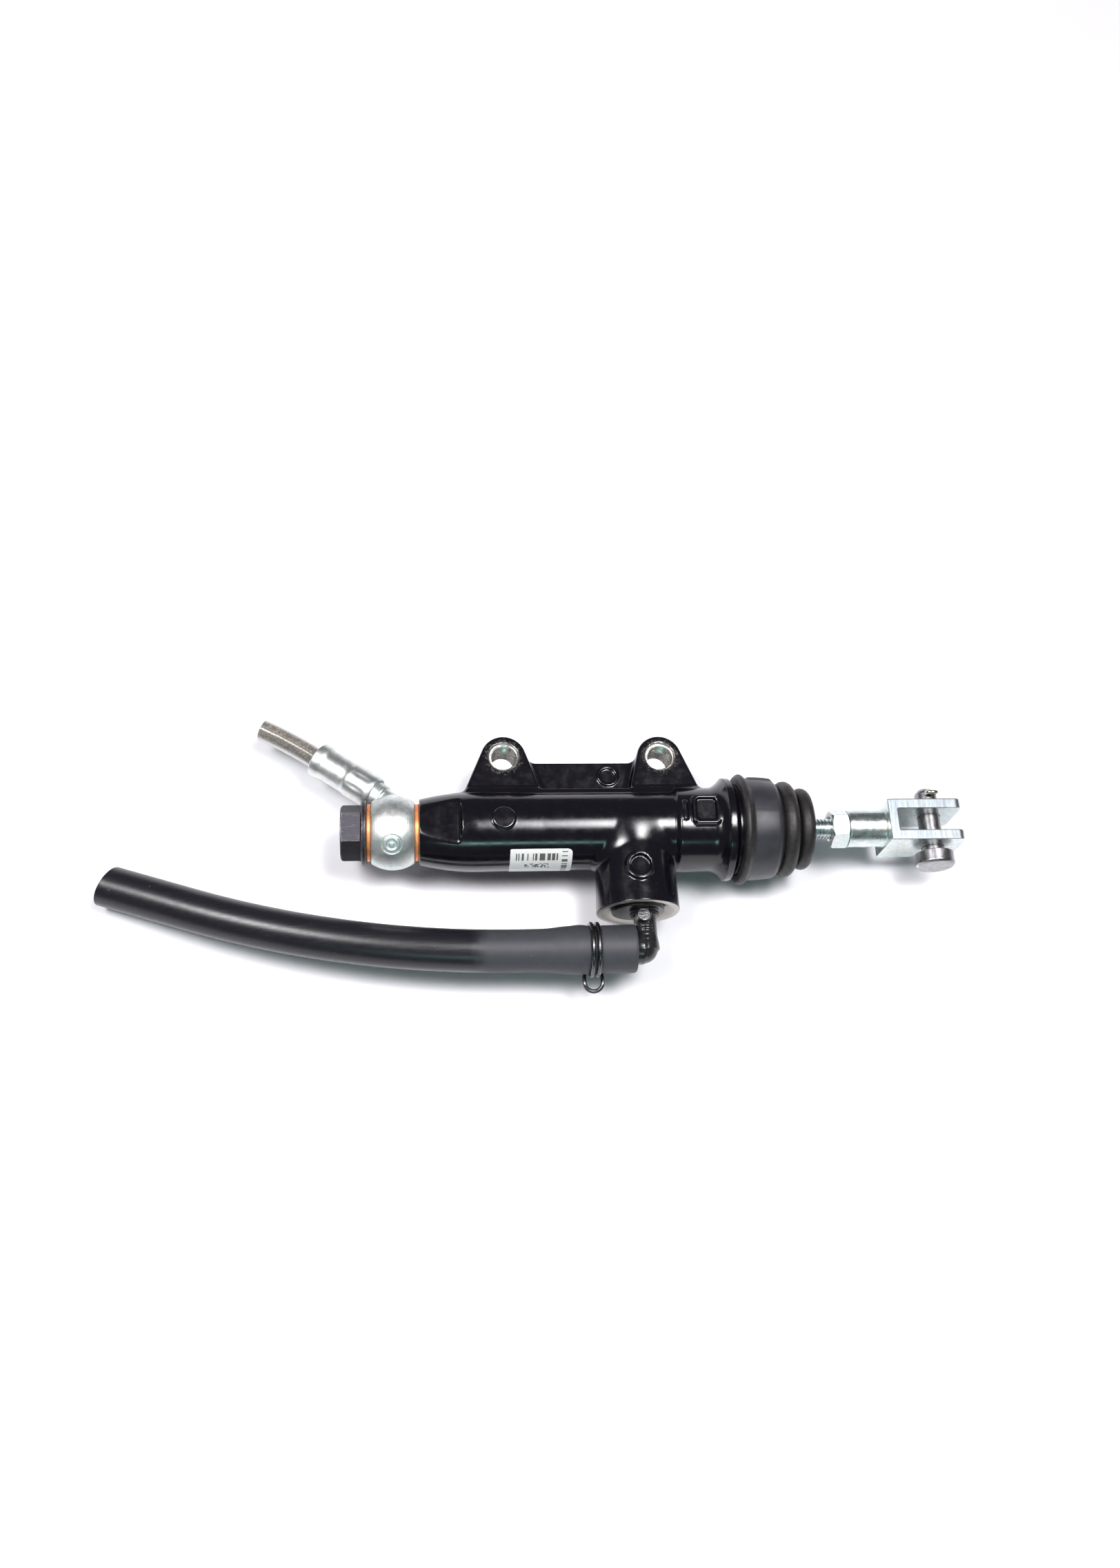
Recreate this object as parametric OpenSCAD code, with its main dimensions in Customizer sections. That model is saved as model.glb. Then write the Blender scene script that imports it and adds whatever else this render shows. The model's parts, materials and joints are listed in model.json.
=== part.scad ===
// Motorcycle rear brake master cylinder with outlet banjo, reservoir elbow, hose stubs,
// dust boot, push rod and pedal clevis.
// Frame: origin midway between the two mounting bolt holes. +X runs along the bore towards
// the push rod, +Y from the bore towards the mounting ears, +Z along the bolts. Millimetres.
// Each module draws its piece about the bore axis, and placed() moves it into that frame.

/* [Cylinder body] */
// Bore diameter of the cylinder
bore_d = 13; // [12.7:0.05:13.2]
// Outside diameter of the plain barrel
barrel_d = 22.2; // [21.4:0.1:22.6]
// Outside diameter at the outlet face
outlet_d = 18.7; // [18:0.1:19.6]
// Distance from the origin back to the outlet face
outlet_reach = 46.6; // [46:0.1:48]
// Distance between the two spanner flats at the outlet end
flats_across = 18; // [17:0.5:18.5]
// Outside diameter of the thicker section next to the boot flange
thick_d = 24.2; // [23.6:0.1:25]

/* [Mounting ears] */
// Distance between the two mounting holes
ear_spacing = 45; // [44:0.5:48]
// Height of the mounting holes above the bore axis
ear_height = 20.8; // [20:0.1:22]
// Thickness of the ears
ear_thick = 10.6; // [9:0.2:12]
// Rounding radius of the ear tops
ear_r = 6.5; // [6:0.1:7.5]
// Core diameter of the M8 thread in the ears
ear_hole_d = 6.8; // [6.6:0.1:7]

/* [Reservoir port] */
// Position of the port along the bore
port_x = 14; // [13:0.5:15]
// Outside diameter of the port boss
port_d = 23.4; // [22:0.2:24]
// Distance from the bore axis to the machined face of the port
port_reach = 24.4; // [24:0.1:26]

/* [Reservoir hose] */
// Outside diameter of the reservoir hose
hose_d = 11.8; // [11.4:0.1:12.2]
// Inside diameter of the reservoir hose
hose_bore_d = 7.4; // [7:0.1:7.6]
// Bending radius of the hose's curved stretch
hose_bend_r = 245; // [220:5:300]
// Angle that the curved stretch turns through
hose_bend_angle = 21.5; // [15:0.5:24]

/* [Banjo fitting] */
// Diameter of the ball of the fitting
ball_d = 21.1; // [20.6:0.1:22]
// Width of the ball between its two sealing faces
ball_w = 12.2; // [11.8:0.1:13]
// Angle of the hose ferrule, measured up from the cylinder axis
ferrule_angle = 37; // [35:1:45]

/* [Push rod and clevis] */
// Diameter of the push rod
rod_d = 6; // [5.8:0.1:6.2]
// Stroke of the piston
stroke = 9; // [6:0.5:9]
// Width of the fork across its two arms
fork_w = 12.4; // [12:0.2:14]
// Height of the fork
fork_h = 16; // [14:0.5:17]
// Width of the slot for the pedal tongue
slot_w = 6.6; // [6.2:0.1:7]
// Diameter of the clevis pin
pin_d = 6.4; // [6:0.1:6.4]

/* [Hidden] */

$fn = 64;
gap = 0.03;             // running clearance between neighbouring pieces, on the radius
over = 1;               // how far a cutting shape runs past the face it cuts

bore_r = bore_d / 2;
barrel_r = barrel_d / 2;
outlet_r = outlet_d / 2;
thick_r = thick_d / 2;
shoulder_r = barrel_r + 0.25;       // widest point of the outlet taper
shoulder_x = -30.6;
taper_r = 62;                       // radius of the arc that forms the outlet taper
flat_end_x = -35;
thick_x = 24.8;                     // where the thicker section starts
flange_x = 38;                      // where the boot flange starts to flare
flange_r = 14.8;
spigot_x = 43.4;
spigot_r = 12.9;
mouth_x = 51.6;                     // open end of the cylinder
bore_end_x = -26;
counterbore_x = 46;
counterbore_r = 8.6;
stop_t = 1.2;                       // thickness of the stop washer
clip_x = counterbore_x + 1.3;       // circlip groove
clip_t = 1.1;
clip_groove_depth = 0.65;
outlet_thread_r = 5;
outlet_thread_end_x = -33.6;

ear_x = ear_spacing / 2;
ear_base_y = 11.4;                  // height above the bore at which the half widths below hold
outlet_ear_half = [11, 10.3];       // half widths of the ear near the outlet, left and right
boot_ear_half = [9.1, 10.8];        // half widths of the ear near the boot, left and right
ear_chamfer = 1;
web_top = 20.2;
web_thick = 4;
boss_x = -23.3;                     // small round boss cast on the front of the barrel
boss_r = 3.1;
plate_x = 29.4;                     // raised rectangular plate on the thick section
plate_len = 8.2;
plate_y = -2.6;
plate_w = 8.6;

washer_t = 1.2;
washer_r = 8.1;
washer_bore_r = 5.15;
ball_x = -outlet_reach - washer_t - ball_w / 2;
bolt_flange_x = ball_x - ball_w / 2 - washer_t;
bolt_flange_t = 1.4;
bolt_head_h = 5.8;
bolt_af = 14;
bolt_turn = -24;                    // turns the hexagon so that a corner stands near the top
bolt_shank_r = outlet_thread_r - 0.05;
bolt_end_x = outlet_thread_end_x - over;

neck_r = 3.2;
neck_rise = 9.2;                    // from the ball centre to the corner of the bent neck
neck_bend_r = 4.6;
fitting_tilt = -12;                 // the hose side leans down, towards -Z
ferrule_start = 6.4;                // measured along the ferrule axis from the neck's corner
ferrule_len = 20.4;
ferrule_r = 4.8;
line_r = 3.3;                       // outside of the brake hose jacket
line_bend_r = 130;
line_bend_angle = 8;
stem_start = ferrule_start + 5.6;   // hose layers start here inside the ferrule
stem_len = 12;

port_bore_r = 7.45;
port_mouth_r = 10.1;
port_mouth_depth = 1.6;
port_floor_y = -15;
snap_y0 = -21.6;                    // snap ring groove of the port and of the elbow
snap_y1 = -20.3;
relief_port_x = 8.9;
feed_port_x = 18.5;
arm_y = -34.8;                      // axis of the elbow's horizontal arm
arm_r = 4.15;
arm_end_x = -4;
tube_r = 3.1;
tube_x = port_x + 1.8;              // the elbow's down tube stands a little off centre
plug_r = port_bore_r - 0.05;
plug_top_y = -17.4;
o_ring_y = -19;
o_ring_r = 0.67;

hose_r = hose_d / 2;
hose_bore_r = hose_bore_d / 2;
hose_start_x = 12.6;
hose_swell_r = 6.65;                // the hose is stretched over the elbow's arm
hose_swell_x = -14;                 // and is back to its own size here
hose_bend_x = -20;
hose_plane_tilt = -24.8;            // the bend leans down, towards -Z
hose_tail = 24.7;
clamp_x = 1.05;
clamp_pitch = 1.7;
clamp_wire_r = 0.6;
clamp_hose_r = 6.45;

seat_x = 42.6;                      // centre of the push rod's ball in the piston
seat_r = 5.2;
piston_end_x = counterbore_x - 0.1;
piston_r = bore_r - 0.05;
cup_x = 9.8;
cup_t = 3.8;
rear_cup_x = 33;
rear_cup_t = 3.6;
spring_wire_r = 0.6;
spring_mean_r = 4.4;
spring_end_x = 8.2;
spring_turns = 8;

rod_r = rod_d / 2;
rod_end_x = 88;
nut_x = 71.5;
nut_t = 5;
nut_af = 10;
nut_turn = -23;                     // as for the bolt's hexagon
shank_r = 5.4;
fork_x = 87.3;
fork_end_x = 109.4;
slot_x = 90;
pin_x = 101.8;
pin_r = pin_d / 2;
pin_hole_r = pin_r + 0.05;
pin_head_r = 5.6;
pin_head_y = -8;
pin_head_t = 4;
pin_end_y = 11.8;
split_y = 9.6;
split_hole_r = 1.05;
split_wire_r = 0.48;

boot_bead_x = 44.7;
boot_bead_r = 16.2;
boot_collar_r = [14.7, 14.1];       // collar radius at the bead and at the first fold
boot_collar_x = 54.6;
boot_inner_r = 11.4;
boot_fold_x = [57.8, 62.8];         // crowns of the two folds
boot_fold_r = [13.8, 11.8];
boot_end_x = 66.4;

// Polygon of [radius, x] points turned about the bore axis
module turn(points) {
    rotate([0, 90, 0]) rotate_extrude() polygon(points);
}

// Ring about the bore axis from x0 to x1
module ring(r_in, r_out, x0, x1) {
    turn([[r_in, x0], [r_out, x0], [r_out, x1], [r_in, x1]]);
}

// Solid disc about the bore axis from x0 to x1
module disc(r, x0, x1) {
    translate([x0, 0, 0]) rotate([0, 90, 0]) cylinder(r = r, h = x1 - x0);
}

// Points [radius, x] of an arc, for use in a turned outline
function arc(cr, cx, r, a0, a1, n) =
    [for (i = [0:n]) let (a = a0 + (a1 - a0) * i / n) [cr + r * cos(a), cx + r * sin(a)]];

// Cylinder along +Y
module rod_y(r, y0, y1) {
    translate([0, y0, 0]) rotate([-90, 0, 0]) cylinder(r = r, h = y1 - y0);
}

// ---------- cylinder body ----------

// Radius of the outlet taper at a place along the bore
function taper_at(x) = shoulder_r - (taper_r - sqrt(taper_r * taper_r - pow(x - shoulder_x, 2)))
    * (shoulder_r - outlet_r) / (taper_r - sqrt(taper_r * taper_r - pow(outlet_reach + shoulder_x, 2)));

module barrel_outside() {
    taper_steps = 8;
    taper_len = outlet_reach + shoulder_x;
    turn(concat(
        [[0, -outlet_reach]],
        [for (i = [0:taper_steps]) let (x = -outlet_reach + taper_len * i / taper_steps) [taper_at(x), x]],
        [[barrel_r, shoulder_x + 6], [barrel_r, thick_x]],
        [[thick_r, thick_x + 1.2], [thick_r, flange_x - 1]],
        arc(flange_r - 1.4, flange_x + 3, 1.4, -60, 60, 6),
        [[spigot_r, spigot_x], [spigot_r, mouth_x - 0.5], [spigot_r - 0.5, mouth_x], [0, mouth_x]]
    ));
}

// Slope of a flank that touches the round top and meets the base at the given half width
function flank_angle(drop, half) =
    let (span = sqrt(drop * drop + half * half)) asin(ear_r / span) + atan2(drop, half);

// One ear: a rounded top with straight flanks that run down into the barrel
module ear(half) {
    root_y = 7;
    slope = [for (h = half) flank_angle(ear_height - ear_base_y, h)];
    root = [for (i = [0, 1]) half[i] + (ear_base_y - root_y) * tan(90 - slope[i])];
    linear_extrude(height = ear_thick, center = true) {
        translate([0, ear_height]) circle(r = ear_r);
        polygon([
            [-root[0], root_y],
            [-ear_r * sin(slope[0]), ear_height + ear_r * cos(slope[0])],
            [ear_r * sin(slope[1]), ear_height + ear_r * cos(slope[1])],
            [root[1], root_y]
        ]);
    }
}

// Everything outside the two spanner flats at the outlet end
module outside_flats() {
    for (side = [0, 1]) mirror([0, 0, side]) translate([-outlet_reach - over, -barrel_d, flats_across / 2])
        cube([flat_end_x + outlet_reach + over, 2 * barrel_d, barrel_d]);
}

// Bore for the elbow's plug, with its chamfered mouth and snap ring groove
module reservoir_port() {
    rod_y(port_bore_r, -port_reach - over, port_floor_y);
    translate([0, -port_reach - gap, 0]) rotate([-90, 0, 0])
        cylinder(r1 = port_mouth_r, r2 = port_bore_r - 0.1, h = port_mouth_depth);
    rod_y(port_bore_r + 0.6, snap_y0, snap_y1);
}

// Threaded hole of one ear, with a chamfer at each face
module ear_hole() {
    cylinder(r = ear_hole_d / 2, h = ear_thick + 2 * over, center = true);
    for (side = [0, 1]) mirror([0, 0, side]) translate([0, 0, ear_thick / 2 - 0.9 * ear_chamfer])
        cylinder(r1 = ear_hole_d / 2, r2 = ear_hole_d / 2 + ear_chamfer, h = ear_chamfer);
}

module cylinder_body() {
    color("#15151c") difference() {
        union() {
            barrel_outside();
            translate([-ear_x, 0, 0]) ear(outlet_ear_half);
            translate([ear_x, 0, 0]) ear(boot_ear_half);
            translate([-ear_x, 0, -web_thick / 2]) cube([ear_spacing, web_top, web_thick]);
            translate([port_x, 0, 0]) rod_y(port_d / 2, -port_reach, 0);
            translate([boss_x, 0, 0]) cylinder(r = boss_r, h = barrel_r + 0.5);
            translate([plate_x, plate_y, 0]) cube([plate_len, plate_w, thick_r + 0.3]);
        }
        // cylinder bore, its mouth and the circlip groove
        disc(bore_r, bore_end_x, counterbore_x + over);
        disc(counterbore_r, counterbore_x, mouth_x + over);
        disc(counterbore_r + clip_groove_depth, clip_x, clip_x + clip_t + 0.1);
        // outlet thread and passage
        disc(outlet_thread_r, -outlet_reach - over, outlet_thread_end_x);
        disc(1.5, outlet_thread_end_x - over, bore_end_x + over);
        outside_flats();
        translate([port_x, 0, 0]) reservoir_port();
        translate([relief_port_x, 0, 0]) rod_y(0.4, port_floor_y - over, -bore_r + over);
        translate([feed_port_x, 0, 0]) rod_y(1.5, port_floor_y - over, -bore_r + over);
        for (x = [-ear_x, ear_x]) translate([x, ear_height, 0]) ear_hole();
    }
}

// ---------- outlet: banjo bolt, washers, fitting and brake hose ----------

module banjo_bolt() {
    color("#3b3a42") difference() {
        union() {
            translate([bolt_flange_x - bolt_flange_t - bolt_head_h, 0, 0]) rotate([0, 90, 0])
                rotate(bolt_turn) cylinder(d = bolt_af / cos(30), h = bolt_head_h + 0.2, $fn = 6);
            disc(9.15, bolt_flange_x - bolt_flange_t, bolt_flange_x);
            disc(bolt_shank_r, bolt_flange_x, bolt_end_x);
        }
        disc(1.6, ball_x - 3, bolt_end_x + over);
        translate([ball_x, 0, 0]) rod_y(1.4, -bolt_shank_r - over, bolt_shank_r + over);
    }
}

module banjo_washers() {
    color("#c9682e") {
        ring(washer_bore_r, washer_r, -outlet_reach - washer_t + gap / 2, -outlet_reach - gap / 2);
        ring(washer_bore_r, washer_r, bolt_flange_x + gap / 2, bolt_flange_x + washer_t - gap / 2);
    }
}

// Puts things drawn in the fitting's own plane (x back along the cylinder, y outwards) in place
module in_fitting_plane() {
    translate([ball_x, 0, 0]) rotate([fitting_tilt, 0, 0]) children();
}

// Puts things drawn along +Z on the ferrule's axis, starting at the neck's corner
module on_ferrule_axis() {
    in_fitting_plane() translate([0, neck_rise, 0]) rotate([0, 0, 180 - ferrule_angle])
        rotate([0, 90, 0]) children();
}

// Bent neck from the ball to the ferrule, of the given radius
module neck(r) {
    turn_angle = 90 - ferrule_angle;
    tangent = neck_bend_r * tan(turn_angle / 2);
    in_fitting_plane() {
        rod_y(r, 0, neck_rise - tangent);
        translate([-neck_bend_r, neck_rise - tangent, 0]) rotate_extrude(angle = turn_angle)
            translate([neck_bend_r, 0]) circle(r = r);
    }
    on_ferrule_axis() translate([0, 0, tangent]) cylinder(r = r, h = stem_start - tangent - gap);
}

module banjo_fitting() {
    color("#c3c8c4") difference() {
        union() {
            intersection() {
                translate([ball_x, 0, 0]) sphere(d = ball_d, $fn = 96);
                disc(ball_d, ball_x - ball_w / 2, ball_x + ball_w / 2);
            }
            neck(neck_r);
            on_ferrule_axis() translate([0, 0, stem_start - over]) cylinder(r = 1.7, h = stem_len + over);
        }
        disc(washer_bore_r, ball_x - ball_w, ball_x + ball_w);
        disc(6.6, ball_x - 2.5, ball_x + 2.5);
        difference() {
            neck(1.1);
            disc(ball_d, ball_x - 2.5 - over, ball_x - 2.5);
        }
        on_ferrule_axis() translate([0, 0, stem_start - over]) cylinder(r = 1.1, h = stem_len + 2 * over);
    }
}

module crimp_ferrule() {
    color("#b9bbb8") on_ferrule_axis() translate([0, 0, ferrule_start]) difference() {
        union() {
            cylinder(r = ferrule_r, h = ferrule_len);
            translate([0, 0, ferrule_len - 1.9]) cylinder(r = ferrule_r + 0.3, h = 1.4);
        }
        translate([0, 0, -over]) cylinder(r = neck_r + gap, h = 6.2 + over);
        translate([0, 0, -gap]) cylinder(r1 = 4.2, r2 = neck_r, h = 1.6);
        translate([0, 0, 5]) cylinder(r = line_r + gap, h = ferrule_len);
    }
}

// One layer of the brake hose: straight inside the ferrule, then gently curved
module line_layer(r_in, r_out) {
    straight = ferrule_start + ferrule_len - stem_start + 1;
    on_ferrule_axis() translate([0, 0, stem_start]) difference() {
        cylinder(r = r_out, h = straight);
        translate([0, 0, -over]) cylinder(r = r_in, h = straight + 2 * over);
    }
    in_fitting_plane() translate([0, neck_rise, 0]) rotate([0, 0, 180 - ferrule_angle])
        translate([stem_start + straight, line_bend_r, 0]) rotate([0, 0, -90])
            rotate_extrude(angle = line_bend_angle) translate([line_bend_r, 0]) difference() {
                circle(r = r_out);
                circle(r = r_in);
            }
}

module brake_hose_liner() { color("#d8d4c8") line_layer(1.75, 2.2); }
module brake_hose_braid() { color("#8f8a86") line_layer(2.23, 2.62); }
module brake_hose_jacket() { color("#d5cfc4") line_layer(2.65, line_r); }

module part_label() {
    label_top = 135.7;
    label_wrap = 62;
    color("white") rotate([0, 90, 0]) rotate([0, 0, label_top + 90]) rotate_extrude(angle = label_wrap)
        translate([barrel_r + 0.01, -22.4]) square([0.1, 18.1]);
}

// ---------- reservoir elbow, hose and clamp ----------

module reservoir_elbow() {
    color("#121214") difference() {
        union() {
            translate([port_x, 0, 0]) difference() {
                rod_y(plug_r, -port_reach, plug_top_y);
                plug_groove(1.35, o_ring_y - 0.9, o_ring_y + 0.9);
                plug_groove(0.6, snap_y0, snap_y1);
            }
            translate([tube_x, 0, 0]) rod_y(tube_r, arm_y, -port_reach + 0.5);
            translate([tube_x - 1.1, arm_y, 0]) sphere(r = arm_r);
            disc_at_arm(arm_r, arm_end_x, tube_x - 1.1);
            translate([port_x + 1, -26.1, 0]) cylinder(r = 1.95, h = 4.3);
        }
        translate([tube_x, 0, 0]) rod_y(2, arm_y, plug_top_y + over);
        disc_at_arm(2.6, arm_end_x - over, tube_x);
    }
}

// Ring that cuts a groove of the given depth into the plug from y0 to y1
module plug_groove(depth, y0, y1) {
    difference() {
        rod_y(plug_r + over, y0, y1);
        rod_y(plug_r - depth, y0 - over, y1 + over);
    }
}

// Cylinder on the axis of the elbow's arm from x0 to x1
module disc_at_arm(r, x0, x1) {
    translate([0, arm_y, 0]) disc(r, x0, x1);
}

module elbow_o_ring() {
    color("#1a1a1a") translate([port_x, o_ring_y, 0]) rotate([-90, 0, 0]) rotate_extrude()
        translate([plug_r - 0.63, 0]) circle(r = o_ring_r);
}

module elbow_snap_ring() {
    color("#8d8d92") translate([port_x, (snap_y0 + snap_y1) / 2, 0]) rotate([-90, 0, 0]) rotate([0, 0, 110])
        rotate_extrude(angle = 320) translate([port_bore_r - 0.03, 0]) circle(r = 0.5);
}

// Centre line: straight over the elbow's arm, then a shallow arc, then a straight tail
module reservoir_hose() {
    arc_drop = hose_bend_r * (1 - cos(hose_bend_angle));
    arc_reach = hose_bend_r * sin(hose_bend_angle);
    color("#202024") translate([0, arm_y, 0]) rotate([hose_plane_tilt, 0, 0]) {
        turn([
            [arm_r + gap, hose_start_x], [hose_swell_r, hose_start_x], [hose_swell_r, clamp_x + 2.4],
            [clamp_hose_r, clamp_x + clamp_pitch], [clamp_hose_r, clamp_x - clamp_pitch],
            [hose_swell_r + 0.1, clamp_x - 3], [hose_swell_r, clamp_x - 7],
            [hose_swell_r - 0.35, clamp_x - 11], [hose_r, hose_swell_x], [hose_r, hose_bend_x],
            [hose_bore_r, hose_bend_x], [hose_bore_r, arm_end_x - 1], [arm_r + gap, arm_end_x - 0.2]
        ]);
        translate([hose_bend_x, 0, 0]) bent_tube(hose_r, hose_bore_r, hose_bend_r, hose_bend_angle);
        translate([hose_bend_x - arc_reach, arc_drop, 0]) rotate([0, 0, 180 - hose_bend_angle])
            rotate([0, 90, 0]) hose_tail();
    }
}

// Tube that leaves the origin along -X and bends towards +Y. It runs a little way into the
// straight stretches at both of its ends.
module bent_tube(r_out, r_in, bend_r, angle) {
    sides = 24;
    stations = 12;
    lap = 0.15;                     // degrees that the tube runs on past each end of the bend
    skin = 0.02;                    // how far its wall stands out from the straight stretches
    radii = [r_out + skin, r_in - skin];
    points = [for (i = [0:stations], r = radii, k = [0:sides - 1])
        let (a = -lap + (angle + 2 * lap) * i / stations, b = 360 * k / sides, reach = bend_r - r * cos(b))
        [-reach * sin(a), bend_r - reach * cos(a), r * sin(b)]];
    function at(i, layer, k) = (i * 2 + layer) * sides + k % sides;
    // one quad between corner k of ring a and corner k + 1 of ring b, as [station, layer]
    function quad(a, b, k) =
        [at(a[0], a[1], k), at(a[0], a[1], k + 1), at(b[0], b[1], k + 1), at(b[0], b[1], k)];
    faces = [for (k = [0:sides - 1]) each concat(
        [for (i = [0:stations - 1]) quad([i, 0], [i + 1, 0], k)],
        [for (i = [0:stations - 1]) quad([i + 1, 1], [i, 1], k)],
        [quad([0, 1], [0, 0], k), quad([stations, 0], [stations, 1], k)]
    )];
    polyhedron(points = points, faces = faces, convexity = 6);
}

// Tail with its slightly oblique cut
module hose_tail() {
    difference() {
        cylinder(r = hose_r, h = hose_tail + 2);
        translate([0, 0, -over]) cylinder(r = hose_bore_r, h = hose_tail + 4);
        translate([0, 0, hose_tail]) rotate([0, 12, 0]) translate([-20, -20, 0]) cube([40, 40, 20]);
    }
}

module hose_clamp() {
    ring_r = clamp_hose_r + clamp_wire_r + gap;
    loop_half = 2.6;
    loop_mid = 9.1;
    tie = 1.3;
    color("#1b1b1d") translate([clamp_x, arm_y, 0]) {
        for (side = [-1, 1]) translate([side * clamp_pitch / 2, 0, 0]) rotate([0, 90, 0])
            rotate_extrude() translate([ring_r, 0]) circle(r = clamp_wire_r);
        // tie across both rings, and the grip loop that leans down from the hose's outer side
        rotate([180 + 25, 0, 0]) {
            translate([-loop_half - clamp_wire_r, ring_r - 0.3, -tie / 2])
                cube([2 * (loop_half + clamp_wire_r), 1, tie]);
            for (side = [-1, 1]) translate([side * loop_half, 0, 0]) rod_y(clamp_wire_r, ring_r, loop_mid);
            translate([0, loop_mid, 0]) rotate_extrude(angle = 180)
                translate([loop_half, 0]) circle(r = clamp_wire_r);
        }
    }
}

// ---------- inside the bore ----------

// Open coil about the bore axis from x0 to x1
module coil(mean_r, wire_r, x0, x1, turns) {
    sides = 6;
    per_turn = 18;
    steps = turns * per_turn;
    rise = x1 - x0 - 2 * wire_r;
    points = [for (i = [0:steps], k = [0:sides - 1])
        let (a = 360 * i / per_turn, b = 360 * k / sides, r = mean_r + wire_r * cos(b))
        [x0 + wire_r + rise * i / steps + wire_r * sin(b), r * cos(a), r * sin(a)]];
    faces = concat(
        [for (i = [0:steps - 1], k = [0:sides - 1]) let (n = (k + 1) % sides)
            [i * sides + k, i * sides + n, (i + 1) * sides + n, (i + 1) * sides + k]],
        [[for (k = [sides - 1:-1:0]) k], [for (k = [0:sides - 1]) steps * sides + k]]
    );
    polyhedron(points = points, faces = faces, convexity = 10);
}

module return_spring() {
    color("#9a9a9e") coil(spring_mean_r, spring_wire_r, bore_end_x + gap, spring_end_x - gap, spring_turns);
}

module spring_seat() {
    color("#c8c8cc") turn([
        [2.05, spring_end_x], [5.6, spring_end_x], [5.6, cup_x - gap], [2.05, cup_x - gap]
    ]);
}

module primary_cup() {
    color("#242428") turn([
        [3.25, cup_x], [4.4, cup_x], [4.6, cup_x + 1.8], [5.4, cup_x + 1.8], [5.7, cup_x + 0.1],
        [piston_r, cup_x], [piston_r, cup_x + 1], [6, cup_x + cup_t], [3.25, cup_x + cup_t]
    ]);
}

module cup_shim() {
    color("#b8b8bc") ring(3.25, 6, cup_x + cup_t + gap, cup_x + cup_t + 0.4);
}

module piston() {
    head_x = cup_x + cup_t + 0.4 + gap;
    color("#b7b9bd") difference() {
        turn([
            [0, spring_end_x - 0.8], [2, spring_end_x - 0.8], [2, cup_x], [3.2, cup_x], [3.2, head_x],
            [piston_r, head_x], [piston_r, head_x + 2], [4.6, head_x + 2.4], [4.6, rear_cup_x - 2.4],
            [piston_r, rear_cup_x - 2], [piston_r, rear_cup_x - gap], [3.8, rear_cup_x - gap],
            [3.8, rear_cup_x + rear_cup_t + gap], [piston_r, rear_cup_x + rear_cup_t + gap],
            [piston_r, piston_end_x], [0, piston_end_x]
        ]);
        translate([seat_x, 0, 0]) sphere(r = seat_r + 0.05);
        disc(seat_r + 0.05, seat_x, piston_end_x + over);
    }
}

module secondary_cup() {
    color("#242428") turn([
        [3.85, rear_cup_x], [6.1, rear_cup_x], [piston_r, rear_cup_x + 0.6], [piston_r, rear_cup_x + 1.2],
        [5.9, rear_cup_x + rear_cup_t], [3.85, rear_cup_x + rear_cup_t]
    ]);
}

module stop_washer() {
    color("#a8a8ac") ring(4.3, counterbore_r - 0.1, counterbore_x + gap, counterbore_x + stop_t);
}

// Internal circlip: an open ring with an eye at each end of its gap
module retaining_circlip() {
    outer_r = counterbore_r + clip_groove_depth - 0.05;
    inner_r = 7.4;
    eye_r = 1.4;
    gap_half = 20;                  // degrees
    color("#6a6a70") translate([clip_x + gap, 0, 0]) rotate([0, 90, 0]) linear_extrude(height = clip_t) {
        difference() {
            circle(r = outer_r);
            circle(r = inner_r);
            polygon([[0, 0], for (a = [90 - gap_half, 90 + gap_half]) 1.5 * outer_r * [cos(a), sin(a)]]);
        }
        for (a = [90 - gap_half - 4, 90 + gap_half + 4]) translate((inner_r - 0.2) * [cos(a), sin(a)])
            difference() {
                circle(r = eye_r);
                circle(r = eye_r / 2);
            }
    }
}

// ---------- dust boot ----------

// Arc of one bellows fold about the crown radius
function fold_arc(i, r) = arc(boot_fold_r[i] - r, boot_fold_x[i], r, -80, 80, 8);

module dust_boot() {
    wall = 1.3;
    bead_r = 1.1;
    lip_r = rod_r + 0.05;
    inside = boot_fold_r[0] - wall;
    color("#1c1a19") turn(concat(
        [[spigot_r + 0.1, spigot_x + 0.1]],
        arc(boot_bead_r - bead_r, boot_bead_x, bead_r, -90, 90, 8),
        [[boot_collar_r[0], boot_bead_x + 1.8], [boot_collar_r[1], boot_collar_x],
         [boot_collar_r[1] - 1.5, boot_collar_x + 0.8]],
        fold_arc(0, 2.2),
        [[11, 60.4]],
        fold_arc(1, 2.1),
        [[6.2, 65.6], [4.6, boot_end_x], [lip_r, boot_end_x], [lip_r, boot_end_x - 2.2],
         [5, boot_end_x - 2.4], [boot_fold_r[1] - wall - 0.6, boot_fold_x[1] + 1.2],
         [boot_fold_r[1] - wall, boot_fold_x[1]], [9.8, 60.6],
         [inside - 0.3, boot_fold_x[0] + 1.4], [inside, boot_fold_x[0]], [inside - 0.3, boot_fold_x[0] - 1.4],
         [boot_inner_r, boot_collar_x - 0.2], [boot_inner_r, mouth_x + 0.3],
         [spigot_r + 0.1, mouth_x + 0.3]]
    ));
}

// ---------- push rod, nut, clevis and pin ----------

module pushrod() {
    color("#c8ccc6") {
        translate([seat_x, 0, 0]) rotate([0, 90, 0]) sphere(r = seat_r);
        disc(rod_r - gap, seat_x + 1, rod_end_x - gap);
    }
}

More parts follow.
